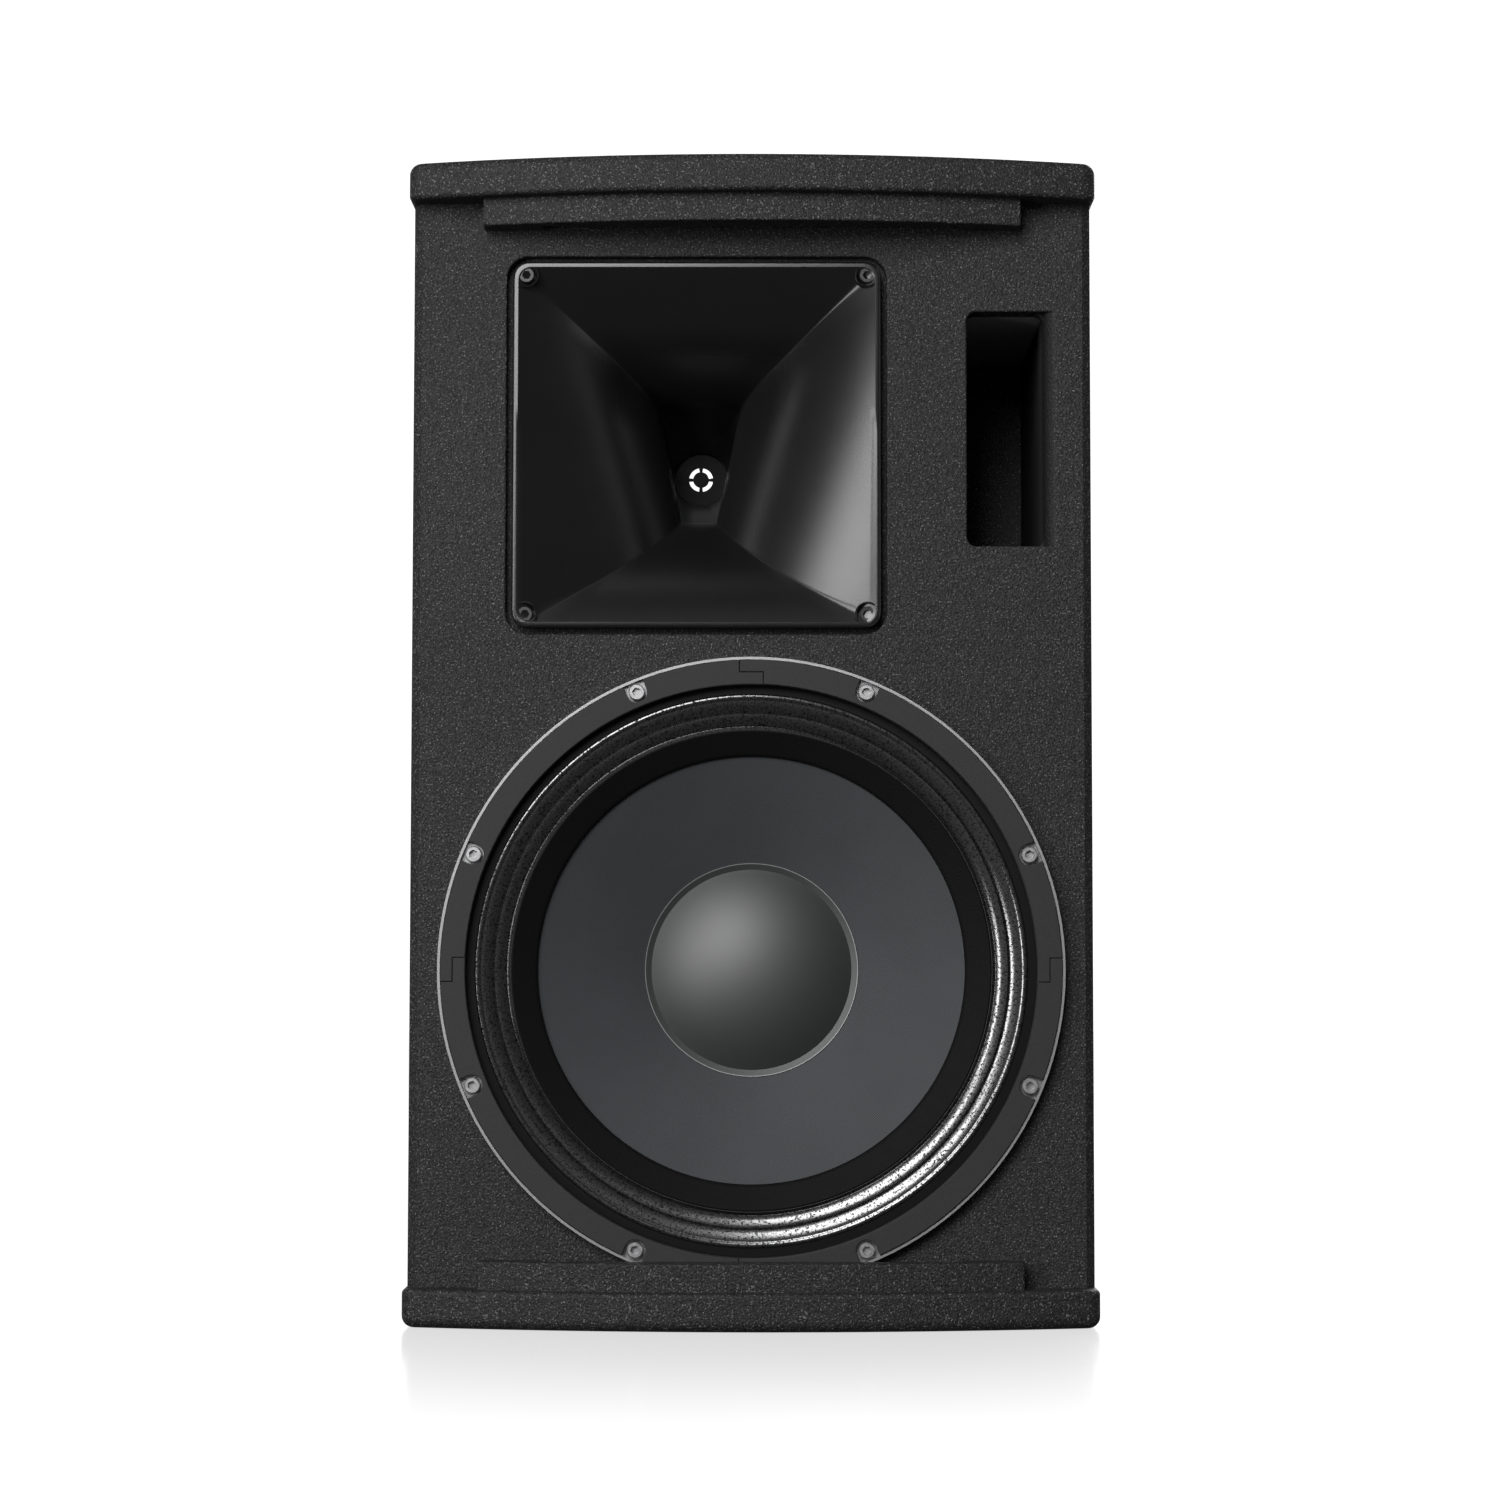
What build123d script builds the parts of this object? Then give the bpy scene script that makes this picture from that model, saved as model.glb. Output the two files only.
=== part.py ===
from build123d import *
import os
from math import asin, cos, radians, sin, sqrt

# Two-way PA loudspeaker: a plywood box with a 15 inch woofer, a square horn and a slot port.
# The front faces -Y, +X is on the right of somebody who looks at the front, and +Z is up.
# The origin is the middle of the footprint, on the surface that the cabinet stands on.
# Depths are measured backwards from the front face of the baffle.

# ---- Cabinet ----
cabinet_height = 721.0
cabinet_depth = 440.0
cap_width = 428.0
cap_thickness = 23.5
cap_overhang = 2.2
cap_edge_round = 7.0
cap_inner_round = 3.0
cap_corner_round = 10.0
bow_radius = 820.0
bow_reach = 42.0
ply = 18.0
front_chamfer = 5.3
rail_width = 335.0
rail_height = 17.0
rail_setback = 9.0
rail_relief_width = 260.0
rail_relief_depth = 13.0
rail_edge_round = 2.0
paint_round = 1.2
brace_height = 60.0
brace_depth = 18.0
brace_z = 440.0
brace_y = 120.0

# ---- Port ----
port_mouth_width = 56.7
port_height = 147.4
port_corner = 6.0
port_lip = 8.1
port_drop = 141.7
port_board = 11.0
port_length = 199.0
port_elbow = 60.0

# ---- Horn and compression driver ----
horn_x = -34.5
horn_drop = 152.0
horn_rim = 230.0
horn_rim_corner = 10.5
horn_rim_proud = 4.0
horn_flange = 10.0
horn_gap = 3.7
horn_seal = 1.0
horn_wall = 4.0
horn_mouth = 223.0
horn_bell = 192.0
horn_bell_corner = 8.0
horn_cutout_gap = 1.5
horn_throat_depth = 93.0
horn_throat_top = 53.8
horn_throat_bottom = 23.4
horn_throat_height = 75.0
horn_length = 150.0
horn_exit_radius = 18.0
horn_bolt_square = 213.0
horn_boss_radius = 8.0
horn_boss_depth = 2.5
horn_tail_radius = 66.0
horn_tail = 8.0
driver_plate_radius = 70.0
driver_plate = 10.0
driver_magnet_radius = 75.0
driver_magnet_bore = 50.0
driver_magnet = 22.0
driver_bolt_circle = 102.0
plug_radius = 17.8
plug_recess = 6.0
plug_back_radius = 36.0
plug_slot_inner = 5.3
plug_slot_outer = 8.0
plug_spoke = 1.7
dome_radius = 38.0
dome_rise = 11.0
dome_skin = 0.5
dome_rim = 3.0
dome_clearance = 0.8
dome_travel = 0.4
dome_seat_gap = 0.4
driver_cap_radius = 60.0
driver_cap = 24.0
driver_cap_wall = 3.0

# ---- Woofer ----
frame_radius = 193.5
frame_floor_gap = 1.5
frame_flange = 5.0
frame_rim_height = 4.2
frame_rim_width = 1.6
frame_spigot = 175.5
frame_spigot_gap = 2.0
frame_seat_radius = 176.0
frame_ledge_drop = 3.0
frame_ledge_radius = 171.0
frame_base_depth = 105.0
frame_base_thickness = 8.0
frame_base_bore = 62.0
frame_windows = 12
frame_spoke_angle = 9.0
window_inner = 108.0
window_outer = 161.0
spider_shelf_depth = 85.5
spider_shelf_inner = 86.0
spider_shelf_outer = 98.0
gasket_height = 5.5
gasket_gap = 0.3
gasket_step = 7.4
gasket_notch = 6.4
gasket_round = 0.6
woofer_pcd = 371.0
woofer_bolts = 8
surround_inner = 149.4
surround_height = 4.5
cone_radius = 149.0
cone_edge_depth = 0.2
cone_neck_depth = 62.0
cone_skin = 1.2
former_radius = 49.5
former_wall = 0.6
former_end_depth = 122.0
winding_height = 20.0
winding_wall = 1.1
dust_cap_radius = 67.0
dust_cap_rise = 21.0
dust_cap_skin = 0.8
spider_thickness = 1.2
magnet_radius = 104.0
magnet_bore = 62.0
magnet_height = 22.0
motor_plate_radius = 96.0
top_plate = 10.0
back_plate = 12.0
air_gap = 0.6
pole_vent = 16.0
motor_bolt_circle = 160.0
motor_bolts = 6

# ---- Fasteners ----
m6_radius = 2.9
m6_head_radius = 5.0
m6_head = 6.0
m6_key_width = 5.0
m6_key_depth = 3.0
nut_wall = 1.2
nut_flange_radius = 7.5
nut_flange = 1.5
nut_length = 9.0
wood_screw_radius = 1.9
wood_screw_head = 3.6
wood_screw_head_height = 1.6
wood_screw_length = 14.0
wood_screw_recess = 0.2

# ---- Rear and bottom fittings ----
input_z = 130.0
input_width = 150.0
input_height = 104.0
input_plate_thickness = 2.0
input_ledge = 13.0
socket_spread = 64.0
socket_flange_width = 26.0
socket_flange_height = 31.0
socket_flange = 2.0
socket_radius = 12.9
socket_length = 26.0
socket_well = 11.2
socket_pin = 5.5
socket_well_depth = 17.0
board_z = 330.0
board_width = 180.0
board_height = 120.0
board_thickness = 1.6
standoff_length = 10.0
standoff_radius = 4.0
inductor_radius = 27.0
inductor_bore = 9.0
inductor_height = 30.0
capacitor_radius = 9.0
capacitor_length = 36.0
capacitor_pitch = 22.0
resistor_size = (50.0, 10.0)
pole_y = 10.0
pole_bore_radius = 18.0
pole_bore_depth = 88.0
pole_wall = 3.0
pole_flange_radius = 42.0
pole_flange = 5.0
pole_flange_lift = 0.3
pole_screw_circle = 66.0
handle_y = 10.0
handle_z = 415.0
handle_length = 168.0
handle_height = 84.0
handle_corner = 20.0
handle_depth = 50.0
handle_wall = 2.5
handle_lip = 14.0
handle_flange = 3.0
handle_rebate = 1.0
handle_bar_radius = 9.0
handle_bar_depth = 13.0
foam_thickness = 25.0
foam_length = 240.0
foam_height = 150.0
foam_z = 575.0

# ---- Fits ----
seat_gap = 0.3
panel_fit = 0.5
thread_gap = 0.1
bolt_gap = 0.4
screw_run_out = 2.0

# ---- Places that follow from the sizes above ----
front_apex_y = -cabinet_depth / 2
face_y = front_apex_y + bow_reach
rear_y = cabinet_depth / 2
body_rear_y = rear_y - cap_overhang
body_depth = body_rear_y - face_y
body_width = cap_width - 2 * cap_overhang
body_bottom = cap_thickness
body_top = cabinet_height - cap_thickness
body_height = body_top - body_bottom
body_mid_z = (body_top + body_bottom) / 2
side_inner_x = body_width / 2 - ply
baffle_width = 2 * side_inner_x
woofer_x = 0.0
woofer_z = body_bottom + frame_floor_gap + frame_radius
horn_z = body_top - horn_drop
port_z = body_top - port_drop
port_outer_x = side_inner_x - port_board
port_mouth_x = port_outer_x + port_lip
port_inner_x = port_mouth_x - port_mouth_width
horn_seat_depth = horn_flange - horn_rim_proud
horn_rebate_depth = horn_seat_depth + horn_seal
m6_hole = m6_radius + bolt_gap
m6_nut_bore = m6_radius + thread_gap
nut_radius = m6_nut_bore + nut_wall
nut_hole = nut_radius + thread_gap
wood_screw_hole = wood_screw_radius + thread_gap
wood_screw_bore = wood_screw_length + screw_run_out

os.makedirs("parts", exist_ok=True)


def facing(depth, x=0.0, z=0.0):
    """Plane that faces the listener: local x points right, y up, and the normal out of the front."""
    return Plane(origin=(x, face_y + depth, z), x_dir=(1, 0, 0), z_dir=(0, -1, 0))


def behind(depth, x=0.0, z=0.0):
    """Plane on the back of the body, seen from behind: the normal points out of the back."""
    return Plane(origin=(x, body_rear_y - depth, z), x_dir=(-1, 0, 0), z_dir=(0, 1, 0))


def radial(x, z):
    """Plane through a round piece's axis: local x is its radius and local y its depth."""
    return Plane(origin=(x, face_y, z), x_dir=(1, 0, 0), z_dir=(0, 0, 1))


def depth_axis(x, z):
    """Axis of a round piece that runs from front to back."""
    return Axis((x, face_y, z), (0, 1, 0))


def arc_sagitta(half_chord, radius):
    """How far an arc of that radius bows over half its chord."""
    return radius - sqrt(radius**2 - half_chord**2)


def dome_section(radius, edge_depth, rise, skin):
    """Half section of a shallow dome of even skin: a positive rise bulges towards the back."""
    sphere = (radius**2 + rise**2) / (2 * abs(rise))
    way = 1 if rise > 0 else -1
    centre = edge_depth + rise - way * sphere
    half_turn = asin(radius / sphere) / 2
    inner = sphere - skin
    rim = inner * sin(2 * half_turn), centre + way * inner * cos(2 * half_turn)
    with BuildLine() as outline:
        ThreePointArc(
            (0, edge_depth + rise),
            (sphere * sin(half_turn), centre + way * sphere * cos(half_turn)),
            (radius, edge_depth),
        )
        Line((radius, edge_depth), rim)
        ThreePointArc(
            rim,
            (inner * sin(half_turn), centre + way * inner * cos(half_turn)),
            (0, centre + way * inner),
        )
        Line((0, centre + way * inner), (0, edge_depth + rise))
    return outline.line


woofer_axis = depth_axis(woofer_x, woofer_z)
woofer_section = radial(woofer_x, woofer_z)
horn_axis = depth_axis(horn_x, horn_z)
horn_section = radial(horn_x, horn_z)


# ==== Cabinet shell ====
def cap_outline():
    """Plan of a cap: straight sides and back, and a front edge bowed towards the listener."""
    half = cap_width / 2
    corner_y = front_apex_y + arc_sagitta(half, bow_radius)
    with BuildLine() as outline:
        ThreePointArc((-half, corner_y), (0, front_apex_y), (half, corner_y))
        Polyline((half, corner_y), (half, rear_y), (-half, rear_y), (-half, corner_y))
    return outline.line


with BuildPart() as top_panel:
    with BuildSketch(Plane.XY.offset(body_top)):
        add(cap_outline())
        make_face()
    extrude(amount=cap_thickness)
    fillet(top_panel.edges().filter_by(Axis.Z), radius=cap_corner_round)
    fillet(top_panel.edges().group_by(Axis.Z)[-1], radius=cap_edge_round)
    fillet(top_panel.edges().group_by(Axis.Z)[0], radius=cap_inner_round)
top_panel.part.label = "top_panel"
export_step(top_panel.part, "parts/top_panel.step")

with BuildPart() as bottom_panel:
    with BuildSketch(Plane.XY):
        add(cap_outline())
        make_face()
    extrude(amount=cap_thickness)
    fillet(bottom_panel.edges().filter_by(Axis.Z), radius=cap_corner_round)
    fillet(bottom_panel.edges().group_by(Axis.Z)[-1], radius=cap_inner_round)
    fillet(bottom_panel.edges().group_by(Axis.Z)[0], radius=cap_edge_round)
    with BuildSketch(Plane.XY):
        with Locations((0, pole_y)):
            Circle(pole_flange_radius + panel_fit)
    extrude(amount=pole_flange + pole_flange_lift, mode=Mode.SUBTRACT)
    with BuildSketch(Plane.XY):
        with Locations((0, pole_y)):
            Circle(pole_bore_radius + pole_wall + panel_fit)
    extrude(amount=cap_thickness, mode=Mode.SUBTRACT)
    with BuildSketch(Plane.XY):
        with Locations((0, pole_y)):
            with PolarLocations(pole_screw_circle / 2, 4, start_angle=45):
                Circle(wood_screw_hole)
    extrude(amount=cap_thickness, mode=Mode.SUBTRACT)
bottom_panel.part.label = "bottom_panel"
export_step(bottom_panel.part, "parts/bottom_panel.step")


def handle_screw_places():
    """Corner places of a handle's four screws, in the side panel's own plane."""
    return GridLocations(handle_length + handle_lip, handle_height * 0.6, 2, 2)


def side_plane(side, depth):
    """Plane at a depth inside a side face, with its normal out of that side: -1 left, +1 right."""
    x = side * (body_width / 2 - depth)
    return Plane(origin=(x, handle_y, handle_z), x_dir=(0, side, 0), z_dir=(side, 0, 0))


def side_panel(side):
    """Side of the box, chamfered along the front, with the cut-out and rebate for a handle cup."""
    with BuildPart() as panel:
        with BuildSketch(Plane.XY.offset(body_bottom)):
            with Locations((side * (body_width - ply) / 2, (face_y + body_rear_y) / 2)):
                Rectangle(ply, body_depth)
        extrude(amount=body_height)
        front_edges = panel.edges().filter_by(Axis.Z).group_by(Axis.Y)[0]
        outer_edge = front_edges.sort_by(Axis.X)[0 if side < 0 else -1]
        chamfer(outer_edge, length=front_chamfer)
        with BuildSketch(side_plane(side, 0)):
            RectangleRounded(
                handle_length + 2 * (handle_lip + panel_fit),
                handle_height + 2 * (handle_lip + panel_fit),
                handle_corner + handle_lip + panel_fit,
            )
        extrude(amount=-handle_rebate, mode=Mode.SUBTRACT)
        with BuildSketch(side_plane(side, 0)):
            RectangleRounded(
                handle_length + 2 * panel_fit, handle_height + 2 * panel_fit, handle_corner + panel_fit
            )
        extrude(amount=-ply, mode=Mode.SUBTRACT)
        with BuildSketch(side_plane(side, 0)):
            with handle_screw_places():
                Circle(wood_screw_hole)
        extrude(amount=-wood_screw_bore, mode=Mode.SUBTRACT)
    return panel


left_side_panel = side_panel(-1)
left_side_panel.part.label = "left_side_panel"
export_step(left_side_panel.part, "parts/left_side_panel.step")

right_side_panel = side_panel(1)
right_side_panel.part.label = "right_side_panel"
export_step(right_side_panel.part, "parts/right_side_panel.step")

with BuildPart() as rear_panel:
    with BuildSketch(behind(0, z=body_mid_z)):
        Rectangle(baffle_width, body_height)
    extrude(amount=-ply)
    with BuildSketch(behind(0, z=input_z)):
        Rectangle(input_width + 2 * panel_fit, input_height + 2 * panel_fit)
    extrude(amount=-input_plate_thickness, mode=Mode.SUBTRACT)
    with BuildSketch(behind(0, z=input_z)):
        Rectangle(input_width - 2 * input_ledge, input_height - 2 * input_ledge)
    extrude(amount=-ply, mode=Mode.SUBTRACT)
    with BuildSketch(behind(0, z=input_z)):
        with GridLocations(input_width - input_ledge, input_height - input_ledge, 2, 2):
            Circle(wood_screw_hole)
    extrude(amount=-wood_screw_bore, mode=Mode.SUBTRACT)
rear_panel.part.label = "rear_panel"
export_step(rear_panel.part, "parts/rear_panel.step")

with BuildPart() as cross_brace:
    with BuildSketch(Plane.XZ.offset(-brace_y)):
        with Locations((0, brace_z)):
            Rectangle(baffle_width, brace_height)
    extrude(amount=brace_depth)
cross_brace.part.label = "cross_brace"
export_step(cross_brace.part, "parts/cross_brace.step")


# ==== Front baffle ====
horn_screw_square = GridLocations(horn_bolt_square, horn_bolt_square, 2, 2)
woofer_screw_circle = PolarLocations(woofer_pcd / 2, woofer_bolts, start_angle=180 / woofer_bolts)
port_mid_x = (port_inner_x + port_outer_x) / 2
port_mouth_mid_x = (port_inner_x + port_mouth_x) / 2

# The port's mouth widens over a rounded lip on its outer side.
with BuildPart(mode=Mode.PRIVATE) as port_lip_cutter:
    with BuildSketch(facing(0, port_mouth_mid_x, port_z)):
        RectangleRounded(port_mouth_width, port_height, port_corner)
    extrude(amount=-port_lip)
    with BuildSketch(Plane.XY.offset(port_z - port_height)):
        with Locations((port_mouth_x, face_y + port_lip)):
            Circle(port_lip)
    extrude(amount=2 * port_height, mode=Mode.SUBTRACT)

with BuildPart() as front_baffle:
    with BuildSketch(facing(0, z=body_mid_z)):
        Rectangle(baffle_width, body_height)
    extrude(amount=-ply)
    with BuildSketch(facing(0, woofer_x, woofer_z)):
        Circle(frame_spigot + frame_spigot_gap)
    extrude(amount=-ply, mode=Mode.SUBTRACT)
    with BuildSketch(facing(0, woofer_x, woofer_z)):
        with woofer_screw_circle:
            Circle(m6_hole)
    extrude(amount=-ply, mode=Mode.SUBTRACT)
    with BuildSketch(facing(ply - nut_length + nut_flange, woofer_x, woofer_z)):
        with woofer_screw_circle:
            Circle(nut_hole)
    extrude(amount=-nut_length, mode=Mode.SUBTRACT)
    with BuildSketch(facing(0, horn_x, horn_z)):
        RectangleRounded(horn_rim + 2 * horn_gap, horn_rim + 2 * horn_gap, horn_rim_corner + horn_gap)
    extrude(amount=-horn_rebate_depth, mode=Mode.SUBTRACT)
    fillet(front_baffle.edges(Select.LAST).group_by(Axis.Y)[0], radius=paint_round)
    with BuildSketch(facing(0, horn_x, horn_z)):
        horn_cutout = horn_bell + 2 * (horn_wall + horn_cutout_gap)
        RectangleRounded(horn_cutout, horn_cutout, horn_bell_corner)
    extrude(amount=-ply, mode=Mode.SUBTRACT)
    with BuildSketch(facing(0, horn_x, horn_z)):
        with horn_screw_square:
            Circle(m6_hole)
    extrude(amount=-ply, mode=Mode.SUBTRACT)
    with BuildSketch(facing(ply - nut_length + nut_flange, horn_x, horn_z)):
        with horn_screw_square:
            Circle(nut_hole)
    extrude(amount=-nut_length, mode=Mode.SUBTRACT)
    with BuildSketch(facing(0, port_mid_x, port_z)):
        RectangleRounded(port_outer_x - port_inner_x, port_height, port_corner)
    extrude(amount=-ply, mode=Mode.SUBTRACT)
    add(port_lip_cutter.part, mode=Mode.SUBTRACT)
    port_edges = front_baffle.edges().group_by(Axis.Y)[0].filter_by(
        lambda edge: port_inner_x - 1 < edge.center().X < port_mouth_x - port_corner
        and abs(edge.center().Z - port_z) < port_height
    )
    fillet(port_edges, radius=paint_round)
front_baffle.part.label = "front_baffle"
export_step(front_baffle.part, "parts/front_baffle.step")


# ==== Port duct: a box of boards that turns towards the middle at its end ====
duct_start = ply
duct_end = port_length
duct_left_x = port_inner_x - port_board


def duct_board(low, high):
    """Board between two corners given as (x, depth, z)."""
    with BuildPart() as board:
        with BuildSketch(Plane.XY.offset(low[2])):
            with Locations(((low[0] + high[0]) / 2, face_y + (low[1] + high[1]) / 2)):
                Rectangle(high[0] - low[0], high[1] - low[1])
        extrude(amount=high[2] - low[2])
    return board


port_low_z = port_z - port_height / 2
port_high_z = port_z + port_height / 2

port_ceiling = duct_board(
    (duct_left_x, duct_start, port_high_z),
    (side_inner_x, duct_end + port_board, port_high_z + port_board),
)
port_ceiling.part.label = "port_ceiling"
export_step(port_ceiling.part, "parts/port_ceiling.step")

port_floor = duct_board(
    (duct_left_x, duct_start, port_low_z - port_board),
    (side_inner_x, duct_end + port_board, port_low_z),
)
port_floor.part.label = "port_floor"
export_step(port_floor.part, "parts/port_floor.step")

port_inner_wall = duct_board(
    (duct_left_x, duct_start, port_low_z),
    (port_inner_x, duct_end - port_elbow, port_high_z),
)
port_inner_wall.part.label = "port_inner_wall"
export_step(port_inner_wall.part, "parts/port_inner_wall.step")

port_outer_wall = duct_board(
    (port_outer_x, duct_start, port_low_z),
    (side_inner_x, duct_end, port_high_z),
)
port_outer_wall.part.label = "port_outer_wall"
export_step(port_outer_wall.part, "parts/port_outer_wall.step")

port_back_wall = duct_board(
    (duct_left_x, duct_end, port_low_z),
    (side_inner_x, duct_end + port_board, port_high_z),
)
port_back_wall.part.label = "port_back_wall"
export_step(port_back_wall.part, "parts/port_back_wall.step")


# ==== Grille rails: bowed blocks that the front grille is fixed to ====
def grille_rail(low_z, exposed):
    """Rail from the baffle's face to a bow parallel to the caps' front edge.

    Its exposed side, 0 for the lower one and -1 for the upper one, has rounded edges.
    """
    half = rail_width / 2
    radius = bow_radius - rail_setback
    apex_y = front_apex_y + rail_setback
    end_y = apex_y + arc_sagitta(half, radius)
    with BuildPart() as rail:
        with BuildSketch(Plane.XY.offset(low_z)):
            with BuildLine():
                ThreePointArc((-half, end_y), (0, apex_y), (half, end_y))
                Polyline((half, end_y), (half, face_y), (-half, face_y), (-half, end_y))
            make_face()
        extrude(amount=rail_height)
        with BuildSketch(Plane.XY.offset(low_z)):
            with Locations((0, face_y - rail_relief_depth / 2)):
                Rectangle(rail_relief_width, rail_relief_depth)
        extrude(amount=rail_height, mode=Mode.SUBTRACT)
        fillet(rail.edges().filter_by(Axis.Z).group_by(Axis.Y)[0], radius=rail_edge_round)
        fillet(rail.edges().group_by(Axis.Z)[exposed], radius=paint_round)
    return rail


upper_grille_rail = grille_rail(body_top - rail_height, 0)
upper_grille_rail.part.label = "upper_grille_rail"
export_step(upper_grille_rail.part, "parts/upper_grille_rail.step")

lower_grille_rail = grille_rail(body_bottom, -1)
lower_grille_rail.part.label = "lower_grille_rail"
export_step(lower_grille_rail.part, "parts/lower_grille_rail.step")


# ==== Fasteners ====
def socket_screw(length):
    """M6 socket cap screw: the underside of its head is at the origin and it points to -Z."""
    with BuildPart() as screw:
        with BuildSketch(Plane.XY):
            Circle(m6_head_radius)
        extrude(amount=m6_head)
        with BuildSketch(Plane.XY):
            Circle(m6_radius)
        extrude(amount=-length)
        with BuildSketch(Plane.XY.offset(m6_head)):
            RegularPolygon(m6_key_width / 2, 6, major_radius=False)
        extrude(amount=-m6_key_depth, mode=Mode.SUBTRACT)
        head_rim = screw.edges().filter_by(GeomType.CIRCLE).group_by(Axis.Z)[-1]
        chamfer(head_rim.sort_by(SortBy.RADIUS)[-1], length=0.6)
    return screw.part


def wood_screw():
    """Flat-headed wood screw: the underside of its head is at the origin and it points to -Z."""
    with BuildPart() as screw:
        with BuildSketch(Plane.XY):
            Circle(wood_screw_head)
        extrude(amount=wood_screw_head_height)
        with BuildSketch(Plane.XY):
            Circle(wood_screw_radius)
        extrude(amount=-(wood_screw_length - wood_screw_head_height))
        with BuildSketch(Plane.XY.offset(wood_screw_head_height)):
            Rectangle(0.8, 4.0)
            Rectangle(4.0, 0.8)
        extrude(amount=-1.0, mode=Mode.SUBTRACT)
    return screw.part


def tee_nut():
    """Tee nut: its flange lies on the XY plane and its barrel points to +Z."""
    with BuildPart() as nut:
        with BuildSketch(Plane.XY):
            Circle(nut_flange_radius)
            Circle(m6_nut_bore, mode=Mode.SUBTRACT)
        extrude(amount=-nut_flange)
        with BuildSketch(Plane.XY):
            Circle(nut_radius)
            Circle(m6_nut_bore, mode=Mode.SUBTRACT)
        extrude(amount=nut_length - nut_flange)
    return nut.part


woofer_screw_seat = -frame_flange
screw_reach = ply + nut_flange
woofer_screw = socket_screw(screw_reach - woofer_screw_seat)
horn_screw = socket_screw(screw_reach - horn_boss_depth)
flat_screw = wood_screw()
one_tee_nut = tee_nut()

with BuildPart(facing(woofer_screw_seat, woofer_x, woofer_z)) as woofer_screws:
    with woofer_screw_circle:
        add(woofer_screw)
woofer_screws.part.label = "woofer_screws"
export_step(woofer_screws.part, "parts/woofer_screws.step")

with BuildPart(facing(horn_boss_depth, horn_x, horn_z)) as horn_screws:
    with horn_screw_square:
        add(horn_screw)
horn_screws.part.label = "horn_screws"
export_step(horn_screws.part, "parts/horn_screws.step")

with BuildPart(facing(ply, woofer_x, woofer_z)) as woofer_tee_nuts:
    with woofer_screw_circle:
        add(one_tee_nut)
woofer_tee_nuts.part.label = "woofer_tee_nuts"
export_step(woofer_tee_nuts.part, "parts/woofer_tee_nuts.step")

with BuildPart(facing(ply, horn_x, horn_z)) as horn_tee_nuts:
    with horn_screw_square:
        add(one_tee_nut)
horn_tee_nuts.part.label = "horn_tee_nuts"
export_step(horn_tee_nuts.part, "parts/horn_tee_nuts.step")


# ==== Horn ====
def throat_outline(wall):
    """The throat's slot, wider at the top, with a wall of that thickness added all round."""
    half_top = horn_throat_top / 2 + wall
    half_bottom = horn_throat_bottom / 2 + wall
    half_height = horn_throat_height / 2 + wall
    Polygon(
        (-half_bottom, -half_height),
        (half_bottom, -half_height),
        (half_top, half_height),
        (-half_top, half_height),
        align=None,
    )


def flare(wall):
    """Body of the flare from the bell to the driver, with a wall of that thickness added all round."""
    corner = horn_bell_corner
    with BuildPart() as body:
        with BuildSketch(facing(horn_seat_depth, horn_x, horn_z)):
            RectangleRounded(horn_bell + 2 * wall, horn_bell + 2 * wall, corner)
        with BuildSketch(facing(horn_throat_depth, horn_x, horn_z)) as throat:
            throat_outline(wall)
            fillet(throat.vertices(), radius=horn_wall)
        loft(ruled=True)
        with BuildSketch(facing(horn_throat_depth, horn_x, horn_z)) as channel:
            throat_outline(wall)
            fillet(channel.vertices(), radius=horn_wall)
        with BuildSketch(facing(horn_length, horn_x, horn_z)):
            side = 2 * (horn_exit_radius + wall)
            RectangleRounded(side, side, side / 2 - 0.5)
        loft(ruled=True)
    return body.part


with BuildPart() as horn_flare:
    with BuildSketch(facing(-horn_rim_proud, horn_x, horn_z)):
        RectangleRounded(horn_rim, horn_rim, horn_rim_corner)
    extrude(amount=-horn_flange)
    add(flare(horn_wall))
    with BuildSketch(facing(horn_length, horn_x, horn_z)):
        Circle(horn_tail_radius)
    extrude(amount=horn_tail)
    with BuildSketch(facing(-horn_rim_proud, horn_x, horn_z)):
        RectangleRounded(horn_mouth, horn_mouth, horn_bell_corner)
    with BuildSketch(facing(horn_seat_depth, horn_x, horn_z)):
        RectangleRounded(horn_bell, horn_bell, horn_bell_corner)
    loft(ruled=True, mode=Mode.SUBTRACT)
    add(flare(0), mode=Mode.SUBTRACT)
    # Round bosses in the corners of the mouth carry the screws.
    with BuildSketch(facing(horn_boss_depth, horn_x, horn_z)):
        with horn_screw_square:
            Circle(horn_boss_radius)
    extrude(amount=horn_boss_depth - horn_seat_depth)
    with BuildSketch(facing(-horn_rim_proud, horn_x, horn_z)):
        with horn_screw_square:
            Circle(horn_boss_radius - 1)
    extrude(amount=-(horn_rim_proud + horn_boss_depth), mode=Mode.SUBTRACT)
    with BuildSketch(facing(-horn_rim_proud, horn_x, horn_z)):
        with horn_screw_square:
            Circle(m6_hole)
    extrude(amount=-horn_flange, mode=Mode.SUBTRACT)
    with BuildSketch(facing(horn_length, horn_x, horn_z)):
        with PolarLocations(driver_bolt_circle / 2, 4, start_angle=45):
            Circle(m6_hole)
    extrude(amount=horn_tail, mode=Mode.SUBTRACT)
horn_flare.part.label = "horn_flare"
export_step(horn_flare.part, "parts/horn_flare.step")

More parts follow.
